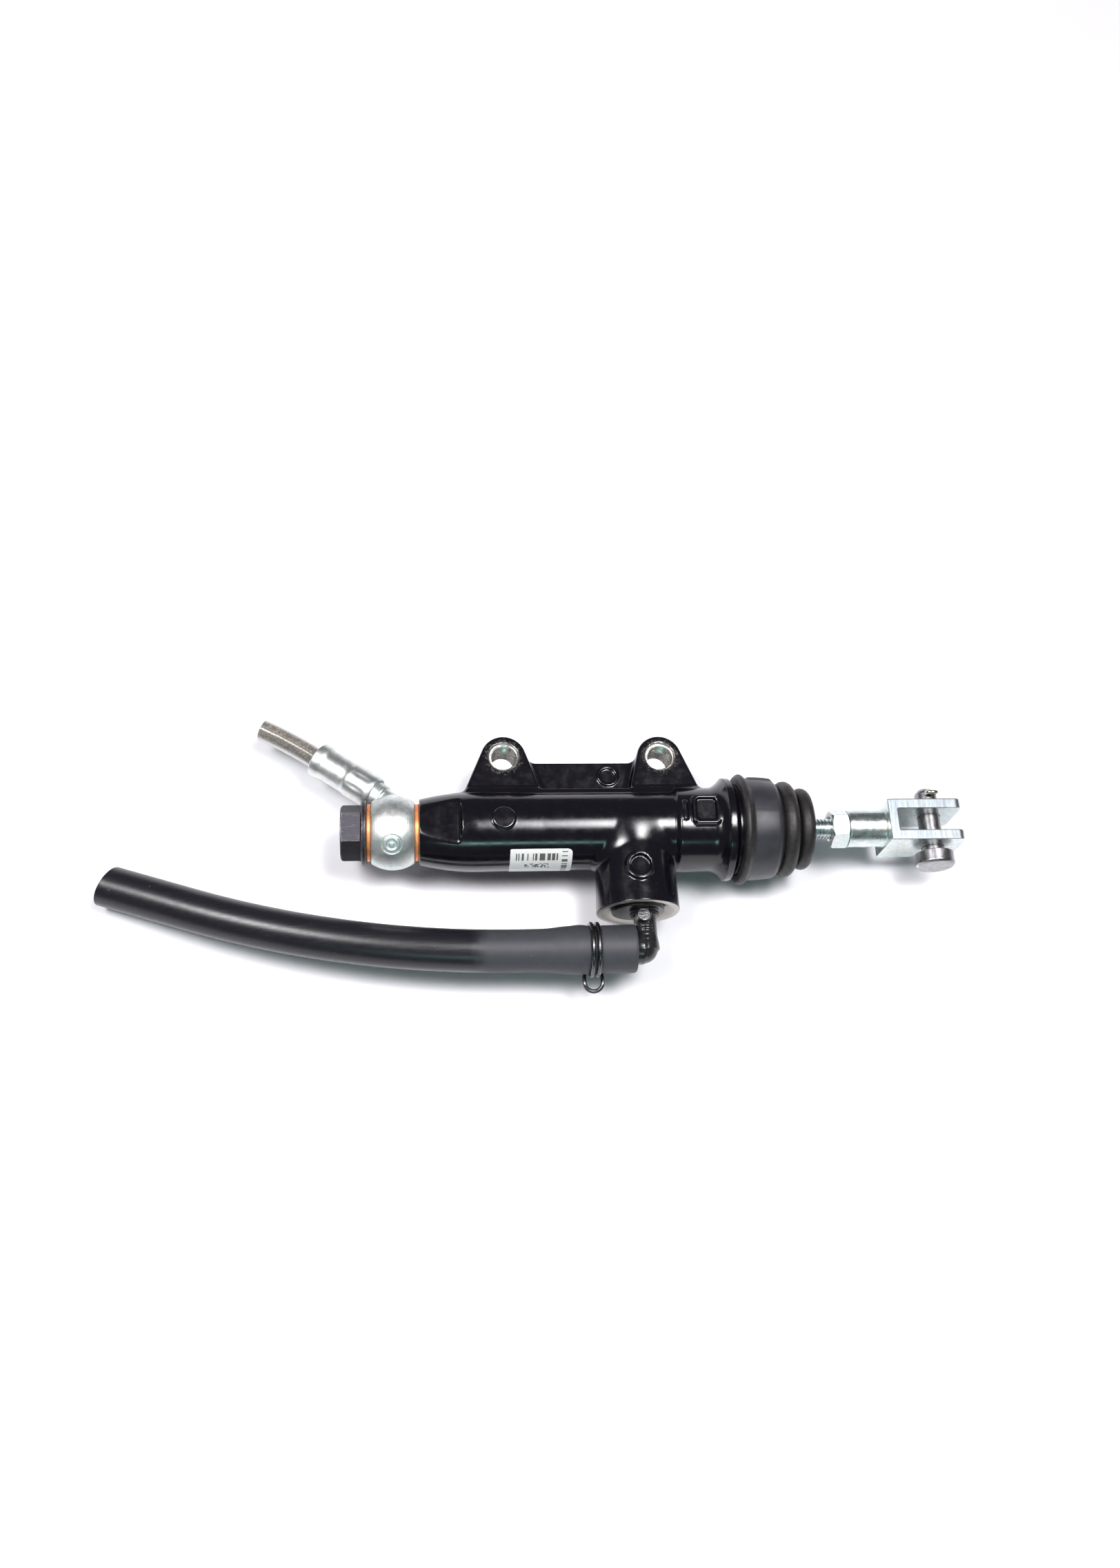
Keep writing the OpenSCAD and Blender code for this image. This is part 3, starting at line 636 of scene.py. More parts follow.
def phosphate():
    """Dark grey phosphated steel, scuffed bright along its edges."""
    f = Finish("black_steel")
    grain = f.noise(4.5, 5, 0.7)
    scratch = f.ramp(f.noise(2.4, 5, 0.75, (7, 1, 1)), 0.58, 0.68)
    base = f.blend(grain, (0.024, 0.022, 0.029), (0.066, 0.062, 0.073))
    base = f.blend(f.times(scratch, 0.35), base, (0.32, 0.3, 0.31))
    rub = f.times(f.edge(0.51, 0.56), f.ramp(f.noise(1.8, 4, 0.7), 0.35, 0.6))
    base = f.blend(rub, base, (0.42, 0.40, 0.39))
    f.set(base_color=base, metallic=0.75)
    f.set(roughness=f.ramp(grain, 0.2, 0.8, 0.3, 0.52))
    f.bump((grain, 0.02), (scratch, 0.006))
    return f.material


def copper():
    f = Finish("copper")
    stain = f.noise(0.5, 4, 0.6)
    base = f.blend(f.ramp(stain, 0.3, 0.7), (0.80, 0.27, 0.10), (0.94, 0.40, 0.17))
    base = f.blend(f.ramp(f.noise(2.5, 4, 0.7), 0.6, 0.75), base, (0.45, 0.16, 0.08))
    f.set(base_color=base, metallic=0.75)
    f.set(roughness=f.ramp(stain, 0.2, 0.8, 0.38, 0.55))
    f.bump((f.noise(5.0, 3, 0.6), 0.01))
    return f.material


def seal_rubber():
    """Moulded rubber: matt, with fine grain, pale dust and small scratches."""
    f = Finish("seal_rubber")
    cloud = f.noise(0.25, 5, 0.65)
    base = f.blend(f.ramp(cloud, 0.3, 0.75), (0.012, 0.012, 0.013), (0.03, 0.03, 0.032))
    specks = f.specks(0.8, 0.09, 0.04)
    scratch = f.ramp(f.noise(0.9, 4, 0.75, (1, 9, 2)), 0.66, 0.74)
    marks = f.most(specks, scratch)
    base = f.blend(f.times(marks, 0.1), base, (0.30, 0.28, 0.26))
    f.set(base_color=base, specular_ior_level=0.45)
    f.set(roughness=f.ramp(f.noise(0.8, 5, 0.7), 0.3, 0.7, 0.3, 0.5))
    f.bump((f.noise(3.0, 4, 0.65), 0.03), (scratch, -0.02))
    return f.material


def boot_rubber():
    """The boot's collar is smooth and greyer; its bead and its folds are brown-black, with a painted
    highlight on the crowns of the folds.
    """
    f = Finish("boot_rubber")
    out = f.away(f.y, 0.0, f.z, 0.0)
    collar = f.times(f.ramp(f.x, 46.2, 46.9), f.ramp(f.x, 55.0, 54.4))
    cloud = f.noise(0.25, 5, 0.65)
    smooth = f.blend(cloud, (0.015, 0.015, 0.020), (0.032, 0.032, 0.040))
    folds = f.blend(f.noise(0.8, 5, 0.7), (0.005, 0.004, 0.004), (0.012, 0.010, 0.010))
    # crown: painted highlight, a patchy paler colour on the outermost crowns of the folds
    crown = f.times(f.ramp(out, 11.4, 13.8), f.ramp(f.noise(0.7, 5, 0.7), 0.4, 0.7))
    folds = f.blend(f.times(crown, 0.35), folds, (0.045, 0.040, 0.038))
    scratch = f.ramp(f.noise(0.8, 4, 0.75, (1, 8, 2)), 0.68, 0.74)
    specks = f.specks(0.5, 0.06, 0.03)
    marks = f.most(scratch, specks)
    base = f.blend(f.times(marks, 0.2), f.blend(collar, folds, smooth), (0.3, 0.29, 0.28))
    f.set(base_color=base, specular_ior_level=0.5)
    satin = f.ramp(cloud, 0.3, 0.7, 0.42, 0.6)
    f.set(roughness=f.mix(collar, satin, f.ramp(cloud, 0.3, 0.7, 0.36, 0.48)))
    f.bump((f.noise(1.5, 4, 0.65), 0.012), (scratch, -0.015))
    return f.material


def hose_rubber():
    """Extruded hose: satin black, and matt grey towards the end that sits on the elbow."""
    f = Finish("hose_rubber")
    ragged = f.calc("ADD", f.x, f.times(f.noise(0.5, 4, 0.6), 3.0))
    matt = f.ramp(ragged, -32.0, -26.0)
    lines = f.noise(2.2, 4, 0.65, (30, 1, 1))
    black = f.blend(lines, (0.005, 0.005, 0.008), (0.012, 0.011, 0.015))
    grey = f.blend(f.noise(0.5, 5, 0.65), (0.024, 0.025, 0.031), (0.046, 0.047, 0.056))
    specks = f.specks(0.28, 0.05, 0.02)
    base = f.blend(matt, black, grey)
    base = f.blend(f.times(specks, 0.45), base, (0.3, 0.3, 0.31))
    f.set(base_color=base, roughness=f.mix(matt, f.ramp(lines, 0.2, 0.8, 0.26, 0.38), 0.56))
    ribs = f.noise(1.6, 2, 0.5, (1, 40, 40))
    f.bump((lines, 0.015), (ribs, 0.02), (f.noise(1.8, 4, 0.6), 0.012), (specks, 0.02))
    return f.material


def black_plastic():
    f = Finish("black_plastic")
    cloud = f.noise(0.7, 5, 0.65)
    base = f.blend(cloud, (0.006, 0.006, 0.007), (0.022, 0.021, 0.022))
    f.set(base_color=base, roughness=f.ramp(cloud, 0.3, 0.8, 0.12, 0.3), specular_ior_level=0.6)
    f.bump((f.noise(1.8, 3, 0.6), 0.05), (f.noise(8, 2, 0.5), 0.006))
    return f.material


def clear_jacket():
    """Clear vinyl over the braid, slightly milky and yellowed."""
    f = Finish("clear_jacket")
    cloud = f.noise(0.5, 4, 0.6)
    f.set(base_color=f.blend(cloud, (0.80, 0.78, 0.74), (0.92, 0.91, 0.90)), ior=1.42)
    facing = f.add("LayerWeight").outputs["Facing"]
    f.set(transmission_weight=f.ramp(facing, 0.22, 0.6, 0.95, 0.25))
    f.set(roughness=f.ramp(f.noise(1.2, 4, 0.6), 0.3, 0.8, 0.03, 0.1))
    f.bump((f.noise(0.5, 3, 0.5), 0.004))
    return f.material


def liner_plastic():
    f = Finish("liner_plastic")
    cloud = f.noise(0.6, 4, 0.6)
    f.set(base_color=f.blend(cloud, (0.62, 0.58, 0.48), (0.8, 0.77, 0.68)), roughness=0.4)
    f.bump((f.noise(2.5, 3, 0.5), 0.01))
    return f.material


def label_paper():
    """White printed label with plain bars and blocks in place of any writing."""
    f = Finish("label_paper")
    lo, hi = span("part_label")
    along = f.calc("DIVIDE", f.minus(f.x, lo[0]), hi[0] - lo[0])
    turned_down = f.calc("ARCTAN2", f.times(f.z, -1.0), f.times(f.y, -1.0))
    down = f.calc("DIVIDE", f.minus(turned_down, LABEL_TOP - pi), LABEL_WRAP)

    def field(left, right, top, bottom):
        wide = f.times(f.above(along, left), f.below(along, right))
        return f.times(wide, f.times(f.above(down, top), f.below(down, bottom)))

    def pattern(u, v, empty):
        """1 in squares of the grid u, v drawn by chance; `empty` is the share left at 0."""
        square = f.add("CombineXYZ")
        f.put(square.inputs[0], f.calc("FLOOR", u))
        f.put(square.inputs[1], f.calc("FLOOR", v))
        chance = f.add("TexWhiteNoise", noise_dimensions="2D")
        f.put(chance.inputs["Vector"], square.outputs[0])
        return f.above(chance.outputs["Value"], empty)

    ink = f.most(
        f.times(pattern(f.times(f.x, 3.2), 1.0, 0.45), field(0.13, 0.78, 0.12, 0.33)),
        f.times(pattern(f.times(f.x, 2.6), f.times(down, 26.0), 0.5), field(0.27, 0.66, 0.44, 0.62)),
        f.times(pattern(1.0, f.times(down, 34.0), 0.5), field(0.84, 0.93, 0.06, 0.9)),
    )
    paper = f.blend(f.noise(0.8, 4, 0.6), (0.72, 0.73, 0.71), (0.82, 0.83, 0.81))
    f.set(base_color=f.blend(f.times(ink, 0.9), paper, (0.03, 0.03, 0.03)))
    f.set(roughness=f.ramp(f.noise(2.0, 3, 0.5), 0.3, 0.7, 0.35, 0.5))
    f.bump((f.noise(5.0, 3, 0.5), 0.004))
    return f.material


def floor_finish():
    f = Finish("pale_floor")
    cloud = f.noise(0.012, 4, 0.6)
    marks = f.ramp(f.noise(0.25, 5, 0.7), 0.66, 0.8)
    base = f.blend(cloud, (0.80, 0.79, 0.83), (0.86, 0.85, 0.88))
    f.set(base_color=f.blend(f.times(marks, 0.05), base, (0.5, 0.5, 0.52)), roughness=0.55)
    f.bump((f.noise(0.6, 4, 0.6), 0.03))
    return f.material


# ---------- cylinder casting ----------


def barrel_radius(x):
    """Outside radius of the turned parts of the casting at a place along the bore."""
    taper = np.clip((SHOULDER_X - x) / (SHOULDER_X - OUTLET_X), 0, 1)
    radius = SHOULDER_R - (SHOULDER_R - OUTLET_R) * taper ** 1.9
    radius = radius - (SHOULDER_R - BARREL_R) * np.clip((x - SHOULDER_X) / 18, 0, 1)
    step = np.clip((x - THICK_X + 0.3) / 1.8, 0, 1)
    radius = radius + (THICK_R - BARREL_R) * step * step * (3 - 2 * step)
    flare = np.clip((x - (FLANGE_X - 5.6)) / 4.2, 0, 1)
    radius = radius + (FLANGE_R - THICK_R) * flare ** 2.2
    fall = np.clip((x - FLANGE_X - 0.2) / 1.6, 0, 1)
    return radius - (FLANGE_R - SPIGOT_R) * fall * fall * (3 - 2 * fall)


def ear_field(x, y, z, centre_x, half_left, half_right):
    """One ear: a round top with flanks that touch it and spread towards the barrel."""
    base_y = 11.4
    u, v = x - centre_x, y - EAR_Y
    reach, inside = [], []
    for side, half in ((-1, half_left), (1, half_right)):
        drop = EAR_Y - base_y
        lean = asin(EAR_R / hypot(drop, half)) + atan2(drop, half)
        normal = (side * sin(lean), cos(lean))
        reach.append(u * normal[0] + v * normal[1] - EAR_R)
        inside.append(v * normal[0] * side - side * u * normal[1] > 0)
    top = np.hypot(u, v) - EAR_R
    flanks = np.maximum(reach[0], reach[1])
    outline = np.where(inside[0] & inside[1], top, flanks)
    outline = np.maximum(outline, 3.0 - y)
    return fillet_max(outline, np.abs(z) - EAR_HALF_THICK, 0.9)


def raised_ring(field, radial, height, ring_r, ring_w, rise):
    """Adds a low round ring, `rise` proud of a surface whose distance field is `height`."""
    ring = np.abs(radial - ring_r) - ring_w
    return fillet_min(field, fillet_max(ring, height - rise, 0.2), 0.35)


def casting(x, y, z):
    radial = np.hypot(y, z)
    barrel = fillet_max((radial - barrel_radius(x)) * 0.93, slab(x, OUTLET_X, MOUTH_X), 0.35)
    ears = np.minimum(ear_field(x, y, z, -EAR_X, 11.0, 10.3), ear_field(x, y, z, EAR_X, 9.1, 10.8))
    web = fillet_max(slab(x, -EAR_X, EAR_X), fillet_max(np.abs(z) - 2.0, y - WEB_TOP_Y, 0.35), 0.5)
    web = np.maximum(web, 2.0 - y)
    foot = fillet_max(fillet_max(slab(x, -33.2, 33.0), np.abs(z) - 5.9, 0.6), y - 10.9, 0.6)
    foot = np.maximum(foot, 2.0 - y)
    lugs = fillet_min(ears, web, 2.2)
    body = fillet_min(barrel, foot, 0.8)
    body = fillet_min(body, lugs, 1.1)
    across = np.hypot(x - PORT_X, z)
    draft = 0.8 * np.clip((y - PORT_FACE_Y) / 22, 0, 1.2)
    port = fillet_max(across - PORT_R + draft, slab(y, PORT_FACE_Y, 0.5), 0.3)
    body = fillet_min(body, port, 1.9)
    pad = drum(np.hypot(x + 23.3, y), z, 3.1, 0, BARREL_R + 0.45, 0.3)
    body = fillet_min(body, pad, 0.5)
    plate = fillet_max(fillet_max(slab(x, 29.4, 37.2), slab(y, -2.6, 6.0), 1.6), z - THICK_R - 0.6, 0.3)
    bar = fillet_max(fillet_max(slab(x, 26.9, 27.9), slab(y, -1.2, 4.6), 0.4), z - THICK_R - 0.4, 0.3)
    body = fillet_min(body, np.maximum(np.minimum(plate, bar), -z), 0.6)
    hollow = fillet_max(fillet_max(slab(x, 30.5, 36.1), slab(y, -1.5, 4.9), 1.0), THICK_R - 0.15 - z, 0.2)
    body = fillet_max(body, -hollow, 0.3)
    front = np.hypot(x - 13.7, y + 14.2)
    body = raised_ring(body, front + np.where(z > 0, 0, FAR), across - PORT_R, 3.5, 0.6, 0.8)
    web_mark = np.hypot(x - 7.5, y - 16.0) + np.where(z > 0, 0, FAR)
    body = raised_ring(body, web_mark, z - 2.0, 2.7, 0.35, 0.35)
    return cut_casting(body, x, y, z, radial, across)


def cut_casting(body, x, y, z, radial, across):
    """Takes the spanner flats, holes, bores and ports out of the casting."""
    flats = fillet_max(x - FLAT_END_X, FLAT_Z - np.abs(z), 1.4)
    body = fillet_max(body, -flats, 0.35)
    for side in (-1, 1):
        hole_r = np.hypot(x - side * EAR_X, y - EAR_Y)
        hole = hole_r - THREAD_MAJOR_R - 0.08
        chamfer = (hole_r - (EAR_HOLE_R + EAR_CHAMFER) + (EAR_HALF_THICK - np.abs(z))) * 0.7
        body = np.maximum(body, -np.minimum(hole, chamfer))
    bore = drum(radial, x, BORE_R, -26, MOUTH_X + 2)
    for bore_r, start, end in (
        (COUNTERBORE_R, COUNTERBORE_X, 60),
        (COUNTERBORE_R + 0.65, 47.3, 48.5),
        (5.0, OUTLET_X - 2, -33.6),
        (1.5, -40, -20),
    ):
        bore = np.minimum(bore, drum(radial, x, bore_r, start, end))
    body = fillet_max(body, -bore, 0.25)
    mouth = (across - PORT_MOUTH_R + (y - PORT_FACE_Y) * 1.65) * 0.52
    port = np.maximum(mouth, y - PORT_FACE_Y - 2.5)
    port = np.minimum(port, drum(across, y, PORT_BORE_R, -60, PORT_FLOOR_Y))
    port = np.minimum(port, drum(across, y, PORT_BORE_R + 0.6, -21.6, -20.3))
    body = fillet_max(body, -port, 0.12)
    feed = drum(np.hypot(x - 18.5, z), y, 1.5, -17, -4)
    return np.maximum(body, -feed)


def thread_relief(pitch, depth):
    """Radius change of a screw thread with flat crests and roots."""
    def relief(x, r, angle):
        phase = (x / pitch - angle / (2 * pi)) % 1.0
        wave = np.clip(np.abs(phase - 0.5) * 2 * 1.35 - 0.15, 0, 1)
        return r + depth * wave
    return relief


def ear_thread(name, centre_x, material):
    """The M8 thread in one ear, as a thin threaded sleeve that lines the hole."""
    half = EAR_HALF_THICK - 0.75
    inside = [(x, EAR_HOLE_R) for x in np.linspace(-half, half, 70)]
    outside = [(half, THREAD_MAJOR_R + 0.25), (-half, THREAD_MAJOR_R + 0.25)]
    cut = thread_relief(1.25, 0.55)

    def relief(x, r, angle):
        return np.where(r < THREAD_MAJOR_R, cut(x, r, angle), r)

    place = Matrix.Translation((centre_x, EAR_Y, 0)) @ Matrix.Rotation(-pi / 2, 4, "Y")
    turned(name, inside + outside, "cylinder", None, material, 64, place, relief)


# ---------- outlet side ----------


def bolt_field(x, y, z):
    radial = np.hypot(y, z)
    flange_t, head_t = 1.4, 5.8
    flange = BALL_X - BALL_HALF_W - WASHER_T
    head_end = flange - flange_t - head_t
    head = fillet_max(hexagon(y, z, 14.0, radians(6)), slab(x, head_end, flange - 0.5), 0.25)
    bevel = (radial - 7.15 - (x - head_end) * 1.75) * 0.5
    head = fillet_max(head, bevel, 0.2)
    dish = np.hypot(radial, x - head_end + 24.0) - 24.35
    head = fillet_max(head, -dish, 0.25)
    collar = drum(radial, x, 9.15, flange - flange_t, flange, 0.45)
    shank = drum(radial, x, 4.95, flange - 0.5, -34.6, 0.4)
    body = np.minimum(fillet_min(head, collar, 0.5), shank)
    bore = np.minimum(drum(radial, x, 1.6, BALL_X - 3, 0), drum(np.hypot(x - BALL_X, z), y, 1.4, -8, 8))
    return np.maximum(body, -bore)


def washers(material):
    half = WASHER_T / 2 - 0.02
    for name, x, node in (("washer_outlet", OUTLET_X - WASHER_T / 2, "banjo_washers"),
                          ("washer_bolt", BALL_X - BALL_HALF_W - WASHER_T / 2, None)):
        lo, hi = x - half, x + half
        outline = rounded([(lo, 5.2, 0.15), (lo, 8.05, 0.3), (hi, 8.05, 0.3), (hi, 5.2, 0.15)])
        turned(name, outline, "cylinder", node, material)


def fitting_axes(x, y, z):
    """Coordinates in the fitting's own tilted plane, about the ball's centre."""
    c, s = cos(FITTING_TILT), sin(FITTING_TILT)
    return x - BALL_X, c * y + s * z, -s * y + c * z


def along_ferrule(u, v):
    """Distance along and across the ferrule's axis from the corner of the neck."""
    c, s = -cos(FERRULE_ANGLE), sin(FERRULE_ANGLE)
    v = v - NECK_RISE
    return u * c + v * s, u * s - v * c


def neck_field(x, y, z, radius):
    """The bent neck: up from the ball, round a bend and along the ferrule's axis."""
    u, v, w = fitting_axes(x, y, z)
    along, across = along_ferrule(u, v)
    rise = np.maximum(np.hypot(u, w) - radius, slab(v, 0, NECK_RISE))
    run = np.maximum(np.hypot(across, w) - radius, slab(along, 0, LINE_START))
    return fillet_min(rise, run, 1.2)


def fitting_field(x, y, z):
    radial = np.hypot(y, z)
    ball = np.sqrt((x - BALL_X) ** 2 + y ** 2 + z ** 2) - BALL_R
    face = slab(x, BALL_X - BALL_HALF_W, BALL_X + BALL_HALF_W)
    body = fillet_max(ball, face, 0.35)
    body = fillet_min(body, neck_field(x, y, z, NECK_R), 1.0)
    u, v, w = fitting_axes(x, y, z)
    along, across = along_ferrule(u, v)
    side = np.hypot(across, w)
    body = np.minimum(body, drum(side, along, 1.7, LINE_START - 1, LINE_START + 12, 0.2))
    shoulder = drum(side, along, 3.95, 3.6, 7.0, 0.5)
    body = fillet_min(body, shoulder, 0.4)
    mark = np.array([-0.27, -6.56, 8.26])
    mark /= np.linalg.norm(mark)
    aside = (x - BALL_X) * mark[0] + y * mark[1] + z * mark[2]
    off = np.sqrt(np.maximum((x - BALL_X) ** 2 + y ** 2 + z ** 2 - aside ** 2, 1e-9))
    off = off + np.where(aside > 0, 0, FAR)
    groove = fillet_max(np.abs(off - 2.55) - 0.28, -ball - 0.35, 0.1)
    dimple = fillet_max(off - 1.5, -ball - 0.3, 0.3)
    pip = fillet_max(off - 0.65, -ball - 0.8, 0.2)
    body = fillet_max(body, -groove, 0.15)
    body = fillet_max(body, -np.maximum(dimple, -pip), 0.2)
    hollow = np.minimum(radial - 5.15, drum(radial, x, 6.6, BALL_X - 2.5, BALL_X + 2.5))
    return np.maximum(body, -hollow)


def ferrule_place():
    """Matrix that puts the x axis on the ferrule's axis, from the neck's corner outwards."""
    tilt = Matrix.Translation((BALL_X, 0, 0)) @ Matrix.Rotation(FITTING_TILT, 4, "X")
    lean = Matrix.Translation((0, NECK_RISE, 0)) @ Matrix.Rotation(pi - FERRULE_ANGLE, 4, "Z")
    return tilt @ lean


def ferrule(material):
    """Crimped sleeve with a flared lip at the hose end and a rolled, open mouth at the neck."""
    s, e = FERRULE_START, FERRULE_START + FERRULE_LEN
    outline = rounded([
        (s, 4.75, 0.25), (s + 0.9, 5.0, 0.5), (s + 8.2, 5.0, 0.6), (s + 9.2, 4.72, 0.6), (e - 3.4, 4.72, 0.8),
        (e - 2.3, 5.05, 0.6), (e - 0.3, 5.15, 0.35), (e, 4.7, 0.3), (e, 3.45, 0.2), (e - 1.2, 3.36, 0.2),
        (s + 5.2, 3.36, 0.1), (s + 5.0, 3.24, 0.1), (s + 1.6, 3.24, 0.2), (s, 4.3, 0.2),
    ])

    def near(x, middle, half):
        return np.clip(1 - np.abs(x - middle) / half, 0, 1) ** 0.5

    def relief(x, r, angle):
        flats = 0.16 * near(x, s + 4.6, 3.2) * np.maximum(0, np.cos(8 * angle)) ** 2
        dents = 0.05 * near(x, e - 6.2, 3.0) * (1 + np.cos(6 * angle + 1))
        return np.where(r > 4.2, r - flats - dents, r)

    turned("crimp_ferrule_shell", dense(outline, 0.35, 2), "cylinder", "crimp_ferrule",
           material, place=ferrule_place(), relief=relief)


def brake_line_path(count):
    """Centre line of the brake hose, from inside the ferrule to its cut end."""
    points = []
    for s in np.linspace(0, LINE_STRAIGHT + LINE_BEND_R * LINE_BEND, count):
        a = max(0.0, s - LINE_STRAIGHT) / LINE_BEND_R
        along = LINE_START + min(s, LINE_STRAIGHT) + LINE_BEND_R * sin(a)
        points.append(ferrule_place() @ Vector((along, LINE_BEND_R * (1 - cos(a)), 0)))
    return np.array(points)


def brake_line_braid(material):
    """Woven wire braid: bands of three wires wound both ways, passing over and under each other."""
    path = brake_line_path(240)
    _, u, v = path_frames(path)
    s = np.concatenate([[0], np.cumsum(np.linalg.norm(np.diff(path, axis=0), axis=1))])
    carriers, pitch, sides = 10, 13.0, 5
    twist = 2 * pi / pitch * s
    braid_r, wire_r, lift = 2.42, 0.13, 0.10
    wire_gap = 0.28175 / braid_r
    circle = np.linspace(0, 2 * pi, sides, endpoint=False)[None, :, None]
    points, faces = [], []
    for way, carrier, wire in itertools.product((-1, 1), range(carriers), (-1, 0, 1)):
        angle = 2 * pi * carrier / carriers + way * twist + wire * wire_gap
        radius = braid_r + lift * way * np.cos(carriers * twist + pi * carrier)
        line = path + radius[:, None] * (np.cos(angle)[:, None] * u + np.sin(angle)[:, None] * v)
        _, a, b = path_frames(line)
        base = len(points) * len(path) * sides
        points.append(line[:, None] + wire_r * (np.cos(circle) * a[:, None] + np.sin(circle) * b[:, None]))
        last = base + (len(path) - 1) * sides
        faces += [tuple(base + k for k in f) for f in grid_faces(len(path), sides, False, True)]
        faces += [tuple(range(base, base + sides)), tuple(range(last + sides - 1, last - 1, -1))]
    points = np.concatenate(points).reshape(-1, 3)
    make_object("brake_hose_wire_braid", points, faces, "cylinder", "brake_hose_braid",
                material, sharp=0)


def label_sheet(material):
    """Thin label with rounded corners, wrapped under the barrel."""
    lo, hi = span("part_label")
    half_x, mid_x = (hi[0] - lo[0]) / 2, (hi[0] + lo[0]) / 2
    radius, thick, corner = BARREL_R + 0.035, 0.09, 1.3
    half_arc = LABEL_WRAP / 2 * radius
    rows, columns = 41, 25
    points = []
    for r in (radius, radius + thick):
        for w in np.linspace(-half_arc, half_arc, rows):
            inset = max(0.0, abs(w) - (half_arc - corner))
            reach = half_x - corner + sqrt(max(corner ** 2 - inset ** 2, 0))
            a = pi - LABEL_TOP - LABEL_WRAP / 2 + w / radius
            for x in np.linspace(mid_x - reach, mid_x + reach, columns):
                points.append((x, -r * cos(a), r * sin(a)))
    layer = rows * columns
    sheet = grid_faces(rows, columns, False, False)
    faces = [f[::-1] for f in sheet] + [tuple(layer + k for k in f) for f in sheet]
    grid = np.arange(layer).reshape(rows, columns)
    rim = [*grid[:, 0], *grid[-1, 1:], *grid[-2::-1, -1], *grid[0, -2:0:-1]]
    faces += [(a, b, layer + b, layer + a) for a, b in zip(rim, rim[1:] + rim[:1])]
    tidy_mesh(make_object("part_label_sheet", points, faces, "cylinder", "part_label",
                          material))


# ---------- reservoir side ----------


def elbow_field(x, y, z):
    tube_x = PORT_X + 1.8
    across = np.hypot(x - PORT_X, z)
    plug = drum(across, y, PORT_BORE_R - 0.05, PORT_FACE_Y, -17.4, 0.25)
    for depth, lo, hi in ((1.35, -19.9, -18.1), (0.6, -21.6, -20.3)):
        groove = np.maximum(PORT_BORE_R - 0.05 - depth - across, slab(y, lo, hi))
        plug = np.maximum(plug, -groove)
    tube = np.maximum(np.hypot(x - tube_x, z) - 3.15, slab(y, ARM_Y, PORT_FACE_Y + 0.5))
    corner = np.sqrt((x - tube_x + 1.1) ** 2 + (y - ARM_Y) ** 2 + z ** 2) - ARM_R
    arm_r = np.hypot(y - ARM_Y, z)
    arm = fillet_max(arm_r - ARM_R, slab(x, ARM_END_X, tube_x - 1.1), 0.5)
    nub = drum(np.hypot(x - PORT_X - 1, y + 26.1), z, 1.95, 0, 4.3, 0.3)
    leg = fillet_min(fillet_min(tube, corner, 1.6), arm, 1.0)
    rib = np.maximum(np.abs(x - tube_x) - 1.5, slab(y, -34.0, -28.2))
    waves = 0.22 * (0.5 + 0.5 * np.cos((y + 28.2) * 2 * pi / 1.45))
    leg = np.where((rib < 0) & (z > 0), leg + 0.3 - waves, leg)
    body = fillet_min(fillet_min(plug, leg, 0.7), nub, 0.4)
    collar = drum(np.hypot(x - tube_x, z), y, 4.1, PORT_FACE_Y - 1.6, PORT_FACE_Y + 0.5, 0.5)
    body = fillet_min(body, collar, 0.3)
    down = drum(np.hypot(x - tube_x, z), y, 2.0, ARM_Y, -10)
    along = drum(arm_r, x, 2.6, ARM_END_X - 2, tube_x)
    return np.maximum(body, -np.minimum(down, along))


def o_ring(material):
    """The elbow's seal in the port."""
    lo, hi = span("elbow_o_ring")
    wire_r = (hi[1] - lo[1]) / 2
    mean_r = (hi[0] - lo[0]) / 2 - wire_r
    turn = np.linspace(0, 2 * pi, 16, endpoint=False)
    outline = [(wire_r * cos(a), mean_r + wire_r * sin(a)) for a in turn]
    place = Matrix.Translation((PORT_X, (lo[1] + hi[1]) / 2, 0)) @ Matrix.Rotation(pi / 2, 4, "Z")
    turned("elbow_o_ring_seal", outline, "elbow", "elbow_o_ring", material, 72, place)


def hose_path():
    """Centre line of the reservoir hose, from the elbow's arm to its cut end."""
    path = [(x, 0.0) for x in np.linspace(HOSE_START_X, HOSE_BEND_X, 70)]
    for a in np.linspace(0, HOSE_BEND, 60)[1:]:
        path.append((HOSE_BEND_X - HOSE_BEND_R * sin(a), HOSE_BEND_R * (1 - cos(a))))
    end_x, end_d = path[-1]
    for s in np.linspace(0, HOSE_TAIL, 24)[1:]:
        path.append((end_x - s * cos(HOSE_BEND), end_d + s * sin(HOSE_BEND)))
    c, s = cos(HOSE_TILT), sin(HOSE_TILT)
    return np.array([(x, ARM_Y + d * c, d * s) for x, d in path])


def reservoir_hose(material):
    """Rubber hose, stretched over the barb and pinched by the clamp."""
    path = hose_path()
    x = path[:, 0]
    stretch = 1 / (1 + np.exp(-(x + 9.5) / 1.5))
    outer = HOSE_R + 0.72 * stretch
    barb = 0.22 * np.exp(-((x + 3.0) / 2.0) ** 2)
    pinch = 0.30 * np.exp(-((x - CLAMP_X) / 1.5) ** 2)
    outer = outer + barb - pinch
    outer[0] -= 0.25
    bore = np.where(x > ARM_END_X - 0.6, ARM_R + 0.03, HOSE_BORE_R)
    swept("reservoir_rubber_hose", path, outer, "elbow", "reservoir_hose",
          material, 72, bore, skew=tan(radians(12)))


